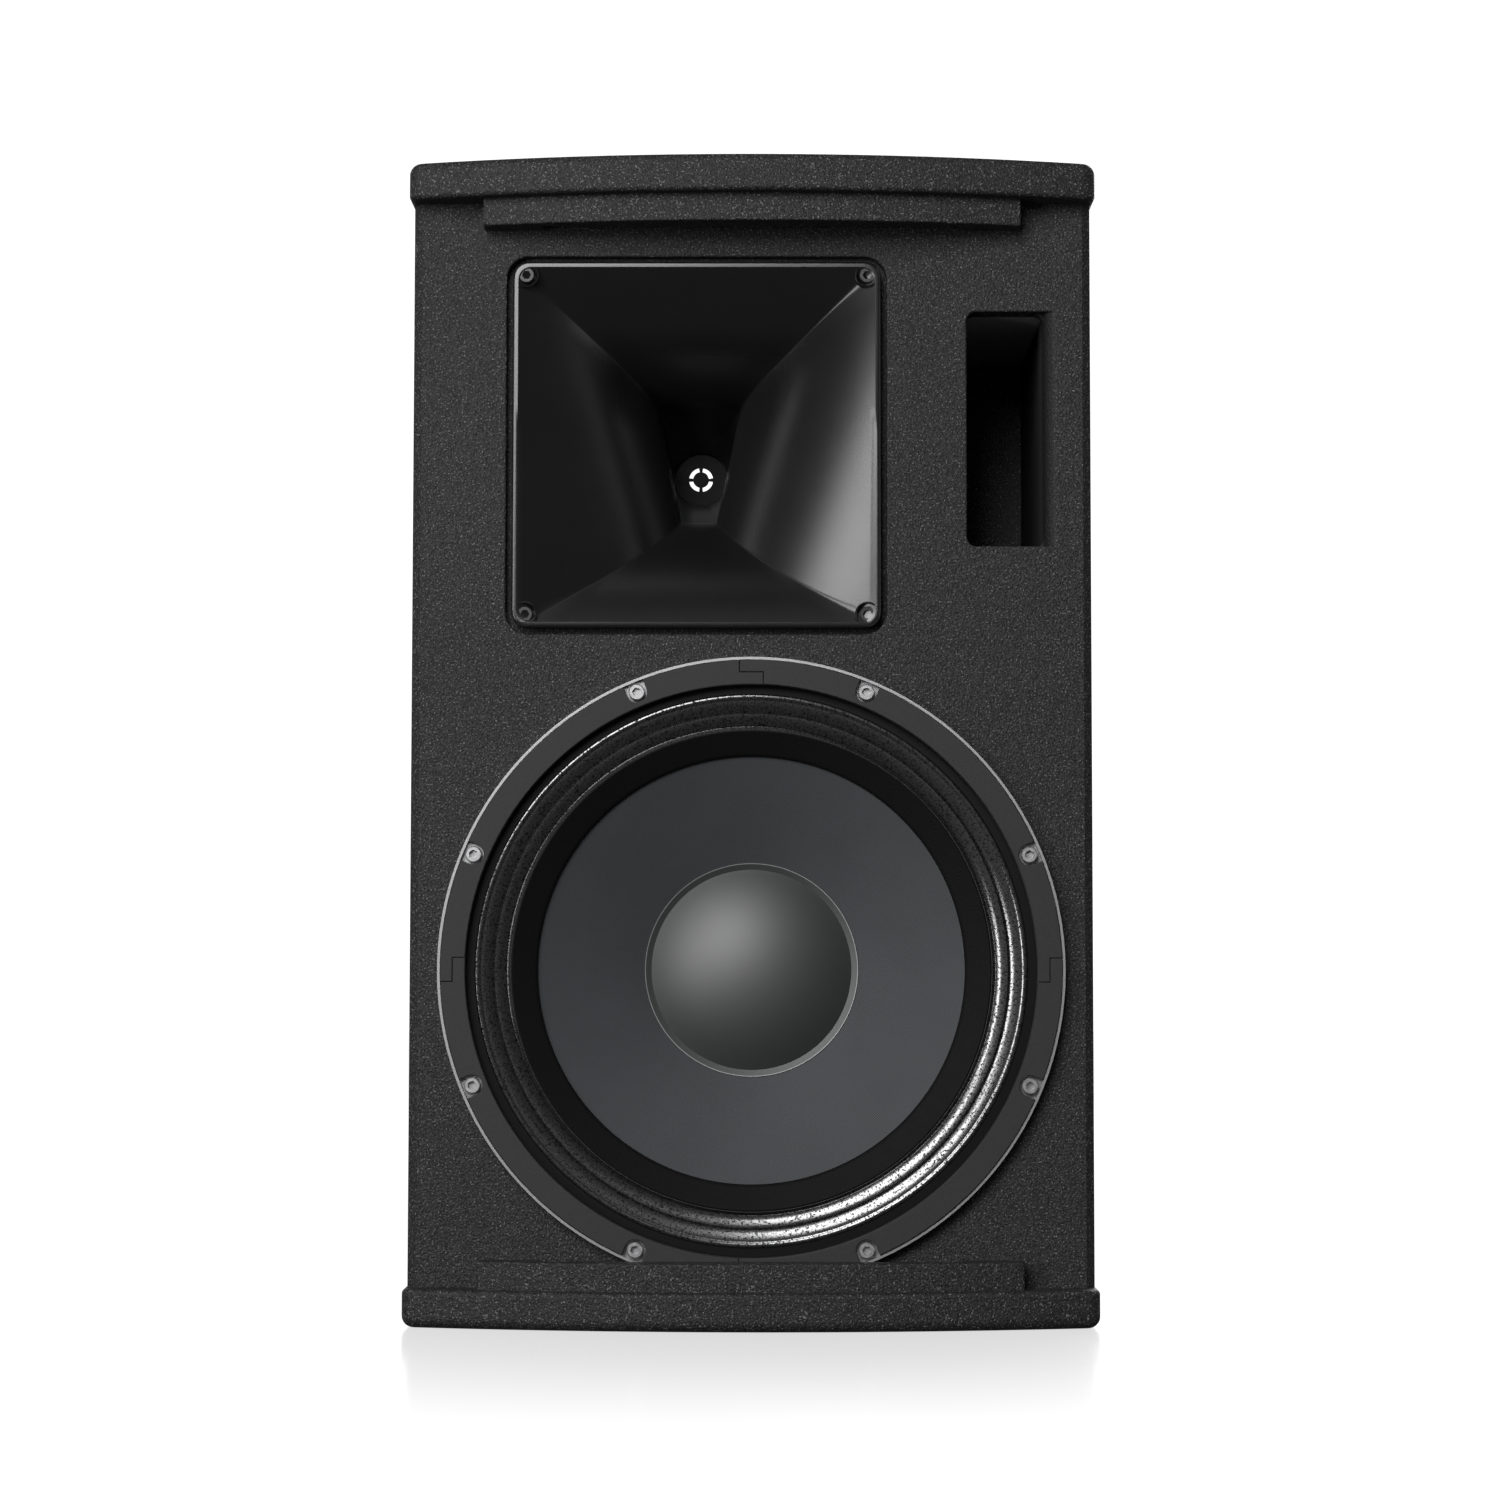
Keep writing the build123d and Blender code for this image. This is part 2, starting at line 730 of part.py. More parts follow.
with BuildPart() as horn_gasket:
    with BuildSketch(facing(horn_seat_depth, horn_x, horn_z)):
        RectangleRounded(horn_rim, horn_rim, horn_rim_corner)
        RectangleRounded(horn_cutout, horn_cutout, horn_bell_corner, mode=Mode.SUBTRACT)
        with horn_screw_square:
            Circle(m6_hole, mode=Mode.SUBTRACT)
    extrude(amount=-horn_seal)
horn_gasket.part.label = "horn_gasket"
export_step(horn_gasket.part, "parts/horn_gasket.step")


# ==== Compression driver ====
plate_back = horn_length + driver_plate
magnet_back = plate_back + driver_magnet
ring_back = magnet_back + driver_plate


def disc(depth, thickness, radius, bore, x, z):
    """Round plate, or ring where it has a bore, about a front-to-back axis."""
    with BuildPart() as plate:
        with BuildSketch(facing(depth, x, z)):
            Circle(radius)
            if bore > 0:
                Circle(bore, mode=Mode.SUBTRACT)
        extrude(amount=-thickness)
    return plate


with BuildPart() as driver_front_plate:
    add(disc(horn_length, driver_plate, driver_plate_radius, horn_exit_radius, horn_x, horn_z).part)
    with BuildSketch(facing(horn_length, horn_x, horn_z)):
        with PolarLocations(driver_bolt_circle / 2, 4, start_angle=45):
            Circle(m6_nut_bore)
    extrude(amount=-(driver_plate - 1), mode=Mode.SUBTRACT)
driver_front_plate.part.label = "driver_front_plate"
export_step(driver_front_plate.part, "parts/driver_front_plate.step")

driver_magnet_ring = disc(
    plate_back, driver_magnet, driver_magnet_radius, driver_magnet_bore, horn_x, horn_z
)
driver_magnet_ring.part.label = "driver_magnet"
export_step(driver_magnet_ring.part, "parts/driver_magnet.step")

driver_back_plate = disc(
    magnet_back, driver_plate, driver_plate_radius, dome_radius + dome_clearance, horn_x, horn_z
)
driver_back_plate.part.label = "driver_back_plate"
export_step(driver_back_plate.part, "parts/driver_back_plate.step")

with BuildPart() as phase_plug:
    with BuildSketch(horn_section):
        Polygon(
            (0, horn_length + plug_recess),
            (plug_radius, horn_length + plug_recess),
            (plug_radius, plate_back),
            (driver_magnet_bore - panel_fit, plate_back),
            (driver_magnet_bore - panel_fit, plate_back + driver_plate),
            (plug_back_radius, magnet_back),
            (plug_back_radius, ring_back - dome_clearance),
            (0, ring_back - dome_clearance),
            align=None,
        )
    revolve(axis=horn_axis)
    with BuildSketch(facing(horn_length, horn_x, horn_z)):
        Circle(plug_slot_outer)
        Circle(plug_slot_inner, mode=Mode.SUBTRACT)
        with PolarLocations(0, 2):
            Rectangle(3 * plug_slot_outer, plug_spoke, mode=Mode.SUBTRACT)
            Rectangle(plug_spoke, 3 * plug_slot_outer, mode=Mode.SUBTRACT)
    extrude(amount=-(ring_back - horn_length), mode=Mode.SUBTRACT)
phase_plug.part.label = "phase_plug"
export_step(phase_plug.part, "parts/phase_plug.step")

dome_edge = ring_back + dome_skin + dome_travel + dome_seat_gap
with BuildPart() as hf_diaphragm:
    with BuildSketch(horn_section):
        add(dome_section(dome_radius, dome_edge, dome_rise, dome_skin))
        make_face()
    revolve(axis=horn_axis)
    with BuildSketch(facing(dome_edge, horn_x, horn_z)):
        Circle(dome_radius + dome_clearance + dome_rim)
        Circle(dome_radius - dome_skin, mode=Mode.SUBTRACT)
    extrude(amount=dome_skin)
hf_diaphragm.part.label = "hf_diaphragm"
export_step(hf_diaphragm.part, "parts/hf_diaphragm.step")

with BuildPart() as driver_rear_cap:
    add(disc(ring_back, driver_cap, driver_cap_radius, 0, horn_x, horn_z).part)
    add(
        disc(
            ring_back, driver_cap - driver_cap_wall, driver_cap_radius - driver_cap_wall, 0, horn_x, horn_z
        ).part,
        mode=Mode.SUBTRACT,
    )
    back_rim = driver_rear_cap.edges().filter_by(GeomType.CIRCLE).group_by(Axis.Y)[-1]
    fillet(back_rim, radius=driver_cap_wall)
driver_rear_cap.part.label = "driver_rear_cap"
export_step(driver_rear_cap.part, "parts/driver_rear_cap.step")

driver_bolt = socket_screw(horn_tail + driver_plate - 2)
with BuildPart(facing(horn_length - horn_tail, horn_x, horn_z)) as driver_bolts:
    with PolarLocations(driver_bolt_circle / 2, 4, start_angle=45):
        add(driver_bolt)
driver_bolts.part.label = "driver_bolts"
export_step(driver_bolts.part, "parts/driver_bolts.step")


# ==== Woofer: frame, gasket and motor ====
flange_face = -frame_flange
rim_face = flange_face - frame_rim_height
ledge_face = flange_face + frame_ledge_drop
base_front = frame_base_depth - frame_base_thickness

with BuildPart() as woofer_frame:
    with BuildSketch(woofer_section):
        Polygon(
            (frame_radius, 0),
            (frame_radius, rim_face),
            (frame_radius - frame_rim_width, rim_face),
            (frame_radius - frame_rim_width, flange_face),
            (frame_seat_radius, flange_face),
            (frame_seat_radius, ledge_face),
            (frame_ledge_radius, ledge_face),
            (frame_ledge_radius, frame_flange),
            (frame_ledge_radius - 5, ply + frame_flange),
            (spider_shelf_outer, spider_shelf_depth - 4),
            (spider_shelf_outer, spider_shelf_depth),
            (spider_shelf_inner, spider_shelf_depth),
            (spider_shelf_inner, base_front),
            (frame_base_bore, base_front),
            (frame_base_bore, frame_base_depth),
            (spider_shelf_outer, frame_base_depth),
            (spider_shelf_outer + 8, base_front),
            (frame_ledge_radius, ply + 12),
            (frame_spigot, ply),
            (frame_spigot, 0),
            align=None,
        )
    revolve(axis=woofer_axis)
    with BuildSketch(facing(ply + 6, woofer_x, woofer_z)):
        half_angle = radians(180 / frame_windows - frame_spoke_angle / 2)
        with PolarLocations(0, frame_windows):
            Polygon(
                (window_inner * cos(half_angle), -window_inner * sin(half_angle)),
                (window_outer * cos(half_angle), -window_outer * sin(half_angle)),
                (window_outer * cos(half_angle), window_outer * sin(half_angle)),
                (window_inner * cos(half_angle), window_inner * sin(half_angle)),
                align=None,
            )
    extrude(amount=-(base_front - ply - 6), mode=Mode.SUBTRACT)
    with BuildSketch(facing(flange_face, woofer_x, woofer_z)):
        with woofer_screw_circle:
            Circle(m6_hole)
    extrude(amount=-frame_flange, mode=Mode.SUBTRACT)
    with BuildSketch(facing(base_front, woofer_x, woofer_z)):
        with PolarLocations(motor_bolt_circle / 2, motor_bolts):
            Circle(m6_hole)
    extrude(amount=-frame_base_thickness, mode=Mode.SUBTRACT)
woofer_frame.part.label = "woofer_frame"
export_step(woofer_frame.part, "parts/woofer_frame.step")

# The gasket is a ring cut into four quarters by stepped joints, with a notch at each screw.
gasket_inner = frame_seat_radius + seat_gap
gasket_outer = frame_radius - frame_rim_width - seat_gap
gasket_mid = (gasket_inner + gasket_outer) / 2
gasket_half = gasket_outer - gasket_inner

with BuildPart() as gasket_ring:
    with BuildSketch(facing(flange_face, woofer_x, woofer_z)):
        Circle(gasket_outer)
        Circle(gasket_inner, mode=Mode.SUBTRACT)
        with PolarLocations(gasket_mid, 4):
            Rectangle(gasket_gap, 2 * gasket_step + gasket_gap, mode=Mode.SUBTRACT)
            with Locations((gasket_half / 2, gasket_step)):
                Rectangle(gasket_half, gasket_gap, mode=Mode.SUBTRACT)
            with Locations((-gasket_half / 2, -gasket_step)):
                Rectangle(gasket_half, gasket_gap, mode=Mode.SUBTRACT)
        with woofer_screw_circle:
            Circle(gasket_notch, mode=Mode.SUBTRACT)
            with Locations((gasket_notch, 0)):
                Rectangle(2 * gasket_notch, 2 * gasket_notch, mode=Mode.SUBTRACT)
    extrude(amount=gasket_height)
    fillet(gasket_ring.edges().group_by(Axis.Y)[0], radius=gasket_round)


def gasket_quarter(side, level):
    """The quarter of the gasket on that side (-1 left, +1 right) and level (-1 lower, +1 upper)."""
    quarter = gasket_ring.solids().filter_by(
        lambda solid: side * (solid.center().X - woofer_x) > 0
        and level * (solid.center().Z - woofer_z) > 0
    )
    with BuildPart() as piece:
        add(quarter)
    return piece


gasket_upper_left = gasket_quarter(-1, 1)
gasket_upper_left.part.label = "gasket_upper_left"
export_step(gasket_upper_left.part, "parts/gasket_upper_left.step")

gasket_upper_right = gasket_quarter(1, 1)
gasket_upper_right.part.label = "gasket_upper_right"
export_step(gasket_upper_right.part, "parts/gasket_upper_right.step")

gasket_lower_left = gasket_quarter(-1, -1)
gasket_lower_left.part.label = "gasket_lower_left"
export_step(gasket_lower_left.part, "parts/gasket_lower_left.step")

gasket_lower_right = gasket_quarter(1, -1)
gasket_lower_right.part.label = "gasket_lower_right"
export_step(gasket_lower_right.part, "parts/gasket_lower_right.step")


# ==== Woofer: the parts that move, and what holds them ====
cone_neck = former_radius + seat_gap
cone_slope = (cone_neck_depth - cone_edge_depth) / (cone_radius - cone_neck)


def cone_depth(radius):
    """Depth of the cone's front face at a radius."""
    return cone_edge_depth + (cone_radius - radius) * cone_slope


def turned(points):
    """Round piece turned about the woofer's axis from its half section, given as (radius, depth)."""
    with BuildPart() as piece:
        with BuildSketch(woofer_section):
            Polygon(*points, align=None)
        revolve(axis=woofer_axis)
    return piece


def tube(inner, outer, front, back):
    """Ring about the woofer's axis between two radii and two depths."""
    return turned([(inner, front), (outer, front), (outer, back), (inner, back)])


cone = turned(
    [
        (cone_radius, cone_edge_depth),
        (cone_neck, cone_neck_depth),
        (cone_neck, cone_neck_depth + cone_skin),
        (cone_radius, cone_edge_depth + cone_skin),
    ]
)
cone.part.label = "cone"
export_step(cone.part, "parts/cone.step")

surround = turned(
    [
        (surround_inner, ledge_face - seat_gap - surround_height + cone_skin),
        (frame_seat_radius - seat_gap, ledge_face - seat_gap - cone_skin),
        (frame_seat_radius - seat_gap, ledge_face - seat_gap),
        (frame_ledge_radius - panel_fit, ledge_face - seat_gap),
        (frame_ledge_radius - panel_fit, cone_edge_depth + cone_skin),
        (surround_inner, cone_edge_depth + cone_skin),
    ]
)
surround.part.label = "surround"
export_step(surround.part, "parts/surround.step")

with BuildPart() as dust_cap:
    with BuildSketch(woofer_section):
        cap_base = cone_depth(dust_cap_radius) - seat_gap
        add(dome_section(dust_cap_radius, cap_base, -dust_cap_rise, dust_cap_skin))
        make_face()
    revolve(axis=woofer_axis)
dust_cap.part.label = "dust_cap"
export_step(dust_cap.part, "parts/dust_cap.step")

winding_top = frame_base_depth + top_plate / 2 - winding_height / 2
voice_coil = turned(
    [
        (former_radius - former_wall, cone_neck_depth - 4),
        (former_radius, cone_neck_depth - 4),
        (former_radius, winding_top),
        (former_radius + winding_wall, winding_top),
        (former_radius + winding_wall, winding_top + winding_height),
        (former_radius, winding_top + winding_height),
        (former_radius, former_end_depth),
        (former_radius - former_wall, former_end_depth),
    ]
)
voice_coil.part.label = "voice_coil"
export_step(voice_coil.part, "parts/voice_coil.step")

spider = tube(
    former_radius + seat_gap,
    spider_shelf_outer - panel_fit,
    spider_shelf_depth - seat_gap - spider_thickness,
    spider_shelf_depth - seat_gap,
)
spider.part.label = "spider"
export_step(spider.part, "parts/spider.step")

coil_outer = former_radius + winding_wall
motor_front = frame_base_depth + top_plate
motor_back = motor_front + magnet_height

with BuildPart() as woofer_top_plate:
    add(tube(coil_outer + air_gap, motor_plate_radius, frame_base_depth, motor_front).part)
    with BuildSketch(facing(frame_base_depth, woofer_x, woofer_z)):
        with PolarLocations(motor_bolt_circle / 2, motor_bolts):
            Circle(m6_nut_bore)
    extrude(amount=-(top_plate - 1), mode=Mode.SUBTRACT)
woofer_top_plate.part.label = "woofer_top_plate"
export_step(woofer_top_plate.part, "parts/woofer_top_plate.step")

woofer_magnet = tube(magnet_bore, magnet_radius, motor_front, motor_back)
woofer_magnet.part.label = "woofer_magnet"
export_step(woofer_magnet.part, "parts/woofer_magnet.step")

pole_radius = former_radius - former_wall - air_gap
woofer_back_plate = turned(
    [
        (pole_vent, frame_base_depth - 2),
        (pole_radius, frame_base_depth - 2),
        (pole_radius, motor_back),
        (motor_plate_radius, motor_back),
        (motor_plate_radius, motor_back + back_plate),
        (pole_vent, motor_back + back_plate),
    ]
)
woofer_back_plate.part.label = "woofer_back_plate"
export_step(woofer_back_plate.part, "parts/woofer_back_plate.step")

motor_bolt = socket_screw(frame_base_thickness + top_plate - 2)
with BuildPart(facing(base_front, woofer_x, woofer_z)) as motor_bolts_set:
    with PolarLocations(motor_bolt_circle / 2, motor_bolts):
        add(motor_bolt)
motor_bolts_set.part.label = "motor_bolts"
export_step(motor_bolts_set.part, "parts/motor_bolts.step")


# ==== Input plate and sockets ====
input_screw_grid = GridLocations(input_width - input_ledge, input_height - input_ledge, 2, 2)

with BuildPart() as input_plate:
    with BuildSketch(behind(0, z=input_z)):
        Rectangle(input_width, input_height)
        with GridLocations(socket_spread, 0, 2, 1):
            Circle(socket_radius + seat_gap, mode=Mode.SUBTRACT)
        with input_screw_grid:
            Circle(wood_screw_hole, mode=Mode.SUBTRACT)
    extrude(amount=-input_plate_thickness)
    with BuildSketch(behind(0, z=input_z)):
        with input_screw_grid:
            Circle(wood_screw_head + wood_screw_recess)
    extrude(amount=-(wood_screw_head_height + wood_screw_recess), mode=Mode.SUBTRACT)
input_plate.part.label = "input_plate"
export_step(input_plate.part, "parts/input_plate.step")

with BuildPart(behind(wood_screw_head_height + wood_screw_recess, z=input_z)) as input_plate_screws:
    with input_screw_grid:
        add(flat_screw)
input_plate_screws.part.label = "input_plate_screws"
export_step(input_plate_screws.part, "parts/input_plate_screws.step")


def speaker_socket(x):
    """Round four-pole speaker socket: a flange outside, a barrel inside and a ring-shaped well."""
    with BuildPart() as socket:
        with BuildSketch(behind(0, x, input_z)):
            RectangleRounded(socket_flange_width, socket_flange_height, 3)
        extrude(amount=socket_flange)
        with BuildSketch(behind(0, x, input_z)):
            Circle(socket_radius)
        extrude(amount=-socket_length)
        with BuildSketch(behind(-socket_flange, x, input_z)):
            Circle(socket_well)
            Circle(socket_pin, mode=Mode.SUBTRACT)
        extrude(amount=-(socket_flange + socket_well_depth), mode=Mode.SUBTRACT)
    return socket


input_socket = speaker_socket(-socket_spread / 2)
input_socket.part.label = "input_socket"
export_step(input_socket.part, "parts/input_socket.step")

link_socket = speaker_socket(socket_spread / 2)
link_socket.part.label = "link_socket"
export_step(link_socket.part, "parts/link_socket.step")


# ==== Crossover on the inside of the rear panel ====
board_face = ply + standoff_length + board_thickness
standoff_grid = GridLocations(board_width - 16, board_height - 16, 2, 2)

with BuildPart() as crossover_board:
    with BuildSketch(behind(board_face, z=board_z)):
        Rectangle(board_width, board_height)
    extrude(amount=board_thickness)
crossover_board.part.label = "crossover_board"
export_step(crossover_board.part, "parts/crossover_board.step")

with BuildPart() as crossover_standoffs:
    with BuildSketch(behind(ply, z=board_z)):
        with standoff_grid:
            Circle(standoff_radius)
    extrude(amount=-standoff_length)
crossover_standoffs.part.label = "crossover_standoffs"
export_step(crossover_standoffs.part, "parts/crossover_standoffs.step")


def inductor(x, z):
    """Air-core coil that lies on the board."""
    with BuildPart() as coil:
        with BuildSketch(behind(board_face, x, board_z + z)):
            Circle(inductor_radius)
            Circle(inductor_bore, mode=Mode.SUBTRACT)
        extrude(amount=-inductor_height)
    return coil


low_pass_inductor = inductor(board_width / 4, -board_height / 4 + 4)
low_pass_inductor.part.label = "low_pass_inductor"
export_step(low_pass_inductor.part, "parts/low_pass_inductor.step")

high_pass_inductor = inductor(-board_width / 4, -board_height / 4 + 4)
high_pass_inductor.part.label = "high_pass_inductor"
export_step(high_pass_inductor.part, "parts/high_pass_inductor.step")

capacitor_depth = board_face + capacitor_radius + seat_gap
with BuildPart() as crossover_capacitors:
    with BuildSketch(Plane.YZ.offset(-capacitor_length / 2)):
        with Locations((body_rear_y - capacitor_depth, board_z + board_height / 4 + 4)):
            with GridLocations(0, capacitor_pitch, 1, 2):
                Circle(capacitor_radius)
    extrude(amount=capacitor_length)
crossover_capacitors.part.label = "crossover_capacitors"
export_step(crossover_capacitors.part, "parts/crossover_capacitors.step")

with BuildPart() as crossover_resistor:
    with BuildSketch(behind(board_face, -board_width / 3, board_z + board_height / 4)):
        Rectangle(*resistor_size)
    extrude(amount=-resistor_size[1])
crossover_resistor.part.label = "crossover_resistor"
export_step(crossover_resistor.part, "parts/crossover_resistor.step")

with BuildPart() as damping_foam:
    with BuildSketch(Plane.YZ.offset(-side_inner_x)):
        with Locations((0, foam_z)):
            Rectangle(foam_length, foam_height)
    extrude(amount=foam_thickness)
damping_foam.part.label = "damping_foam"
export_step(damping_foam.part, "parts/damping_foam.step")


# ==== Pole socket in the bottom panel ====
pole_screw_places = PolarLocations(pole_screw_circle / 2, 4, start_angle=45)
pole_screw_seat = pole_flange_lift + wood_screw_recess + wood_screw_head_height


def pole_plane(height):
    """Level plane at a height on the pole's axis."""
    return Plane((0, pole_y, height))


with BuildPart() as pole_socket:
    with BuildSketch(pole_plane(pole_flange_lift)):
        Circle(pole_flange_radius)
    extrude(amount=pole_flange)
    with BuildSketch(pole_plane(pole_flange_lift)):
        Circle(pole_bore_radius + pole_wall)
    extrude(amount=pole_bore_depth + pole_wall)
    with BuildSketch(pole_plane(pole_flange_lift)):
        Circle(pole_bore_radius)
    extrude(amount=pole_bore_depth, mode=Mode.SUBTRACT)
    with BuildSketch(pole_plane(pole_flange_lift)):
        with pole_screw_places:
            Circle(wood_screw_hole)
    extrude(amount=pole_flange, mode=Mode.SUBTRACT)
    with BuildSketch(pole_plane(pole_flange_lift)):
        with pole_screw_places:
            Circle(wood_screw_head + wood_screw_recess)
    extrude(amount=pole_screw_seat - pole_flange_lift, mode=Mode.SUBTRACT)
pole_socket.part.label = "pole_socket"
export_step(pole_socket.part, "parts/pole_socket.step")

downward = Plane(origin=(0, pole_y, pole_screw_seat), x_dir=(1, 0, 0), z_dir=(0, 0, -1))
with BuildPart(downward) as pole_socket_screws:
    with pole_screw_places:
        add(flat_screw)
pole_socket_screws.part.label = "pole_socket_screws"
export_step(pole_socket_screws.part, "parts/pole_socket_screws.step")


# ==== Side handles ====
def handle_cup(side):
    """Recessed cup with a lip that lies in the side panel's rebate."""
    outer_face = handle_flange - handle_rebate
    with BuildPart() as cup:
        with BuildSketch(side_plane(side, handle_rebate)):
            RectangleRounded(
                handle_length + 2 * handle_lip, handle_height + 2 * handle_lip, handle_corner + handle_lip
            )
        extrude(amount=handle_flange)
        with BuildSketch(side_plane(side, 0)):
            RectangleRounded(handle_length, handle_height, handle_corner)
        extrude(amount=-handle_depth)
        with BuildSketch(side_plane(side, -outer_face)):
            RectangleRounded(
                handle_length - 2 * handle_wall,
                handle_height - 2 * handle_wall,
                handle_corner - handle_wall,
            )
        extrude(amount=-(handle_depth + outer_face - handle_wall), mode=Mode.SUBTRACT)
        with BuildSketch(side_plane(side, 0)):
            with handle_screw_places():
                Circle(wood_screw_hole)
        extrude(amount=handle_flange, both=True, mode=Mode.SUBTRACT)
        with BuildSketch(side_plane(side, -outer_face)):
            with handle_screw_places():
                Circle(wood_screw_head + wood_screw_recess)
        extrude(amount=-(wood_screw_head_height + wood_screw_recess), mode=Mode.SUBTRACT)
    return cup


def handle_bar(side):
    """Round grip that runs from end to end of a handle cup."""
    x = side * (body_width / 2 - handle_bar_depth)
    with BuildPart() as bar:
        with BuildSketch(Plane.XZ.offset(-(handle_y - handle_length / 2 + handle_wall))):
            with Locations((x, handle_z)):
                Circle(handle_bar_radius)
        extrude(amount=-(handle_length - 2 * handle_wall))
    return bar


left_handle_cup = handle_cup(-1)
left_handle_cup.part.label = "left_handle_cup"
export_step(left_handle_cup.part, "parts/left_handle_cup.step")

right_handle_cup = handle_cup(1)
right_handle_cup.part.label = "right_handle_cup"
export_step(right_handle_cup.part, "parts/right_handle_cup.step")

left_handle_bar = handle_bar(-1)
left_handle_bar.part.label = "left_handle_bar"
export_step(left_handle_bar.part, "parts/left_handle_bar.step")

right_handle_bar = handle_bar(1)
right_handle_bar.part.label = "right_handle_bar"
export_step(right_handle_bar.part, "parts/right_handle_bar.step")

handle_screw_seat = handle_rebate - handle_flange + wood_screw_recess + wood_screw_head_height
with BuildPart(side_plane(-1, handle_screw_seat), side_plane(1, handle_screw_seat)) as handle_screws:
    with handle_screw_places():
        add(flat_screw)
handle_screws.part.label = "handle_screws"
export_step(handle_screws.part, "parts/handle_screws.step")
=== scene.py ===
from math import cos, pi, radians, sin

import bmesh
import bpy
import numpy as np
from mathutils import Matrix, Vector


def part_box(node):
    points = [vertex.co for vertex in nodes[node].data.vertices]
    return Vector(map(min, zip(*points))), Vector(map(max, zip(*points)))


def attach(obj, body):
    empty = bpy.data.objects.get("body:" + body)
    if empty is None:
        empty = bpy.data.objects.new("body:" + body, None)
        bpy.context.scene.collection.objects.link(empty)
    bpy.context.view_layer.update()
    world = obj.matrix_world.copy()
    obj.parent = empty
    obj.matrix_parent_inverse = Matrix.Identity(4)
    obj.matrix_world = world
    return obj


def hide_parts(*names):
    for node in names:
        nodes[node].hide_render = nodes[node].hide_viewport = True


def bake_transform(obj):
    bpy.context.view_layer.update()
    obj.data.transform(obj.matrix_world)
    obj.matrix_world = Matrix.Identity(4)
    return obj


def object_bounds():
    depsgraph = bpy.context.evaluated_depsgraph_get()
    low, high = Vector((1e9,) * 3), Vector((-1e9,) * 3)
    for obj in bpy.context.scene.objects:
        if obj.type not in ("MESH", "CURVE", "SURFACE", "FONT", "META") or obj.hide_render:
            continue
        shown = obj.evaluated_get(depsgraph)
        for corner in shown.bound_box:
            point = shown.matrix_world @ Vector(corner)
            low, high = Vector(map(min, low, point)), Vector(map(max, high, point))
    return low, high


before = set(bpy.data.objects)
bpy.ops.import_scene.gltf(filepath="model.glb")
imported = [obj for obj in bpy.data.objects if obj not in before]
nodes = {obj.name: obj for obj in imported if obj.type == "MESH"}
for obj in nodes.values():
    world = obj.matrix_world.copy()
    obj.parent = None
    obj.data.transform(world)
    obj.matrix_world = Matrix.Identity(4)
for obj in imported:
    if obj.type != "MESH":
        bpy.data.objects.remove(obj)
cad_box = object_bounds()

# ---- Studio ----
# The cabinet is lit by soft boxes: a large one high in front, smaller ones at both sides, a strip
# overhead and one behind. The camera stands at the height of the woofer and looks slightly up.
lens = 82.4
sensor_width = 36
camera_place = Vector((0.0074, -2.3048, 0.2223))
camera_yaw = radians(-0.224)
camera_pitch = radians(3.562)
camera_roll = radians(0.066)

along_floor = cos(camera_pitch)
forward = Vector((sin(camera_yaw) * along_floor, cos(camera_yaw) * along_floor, sin(camera_pitch)))
level = forward.cross(Vector((0, 0, 1))).normalized()
upward = level.cross(forward)
rightward = level * cos(camera_roll) + upward * sin(camera_roll)
upward = rightward.cross(forward)
camera_data = bpy.data.cameras.new("camera")
camera_data.lens = lens
camera_data.sensor_width = sensor_width
camera = bpy.data.objects.new("camera", camera_data)
turned_to = Matrix((rightward, upward, -forward)).transposed().to_4x4()
camera.matrix_world = Matrix.Translation(camera_place) @ turned_to
bpy.context.scene.collection.objects.link(camera)
bpy.context.scene.camera = camera
bpy.context.scene.view_settings.view_transform = "Standard"


def soft_box(name, place, aim, width, height, power):
    """A rectangular light of that size and power in watts, at place and turned to face aim."""
    data = bpy.data.lights.new(name, "AREA")
    data.shape = "RECTANGLE"
    data.size = width
    data.size_y = height
    data.energy = power
    light = bpy.data.objects.new(name, data)
    light.location = place
    light.rotation_euler = (Vector(aim) - Vector(place)).to_track_quat("-Z", "Y").to_euler()
    bpy.context.scene.collection.objects.link(light)


middle = (0, 0, 0.36)
upper_front = (0, -0.1, 0.5)
soft_box("front_box", (-0.9, -2.9, 1.75), middle, 1.7, 1.7, 104)
soft_box("left_box", (-1.66, -1.86, 0.45), upper_front, 0.55, 1.2, 24)
soft_box("right_box", (2.4, -0.55, 0.6), upper_front, 0.8, 1.2, 4)
soft_box("overhead_strip", (0, -0.9, 2.4), (0, 0, 0.6), 2.0, 0.5, 1.5)
soft_box("rear_box", (0.9, 2.6, 1.6), middle, 1.5, 1.5, 70)

# The room is dim grey to the cabinet and white to the camera.
dim_grey = (0.09, 0.09, 0.092, 1)
white = (1.0, 1.0, 1.0, 1)
world = bpy.data.worlds.new("studio")
world.use_nodes = True
bpy.context.scene.world = world
sky = world.node_tree.nodes["Background"]
seen = world.node_tree.nodes.new("ShaderNodeLightPath")
shade = world.node_tree.nodes.new("ShaderNodeMix")
shade.data_type = "RGBA"
shade.inputs["A"].default_value = dim_grey
shade.inputs["B"].default_value = white
world.node_tree.links.new(seen.outputs["Is Camera Ray"], shade.inputs["Factor"])
world.node_tree.links.new(shade.outputs["Result"], sky.inputs["Color"])


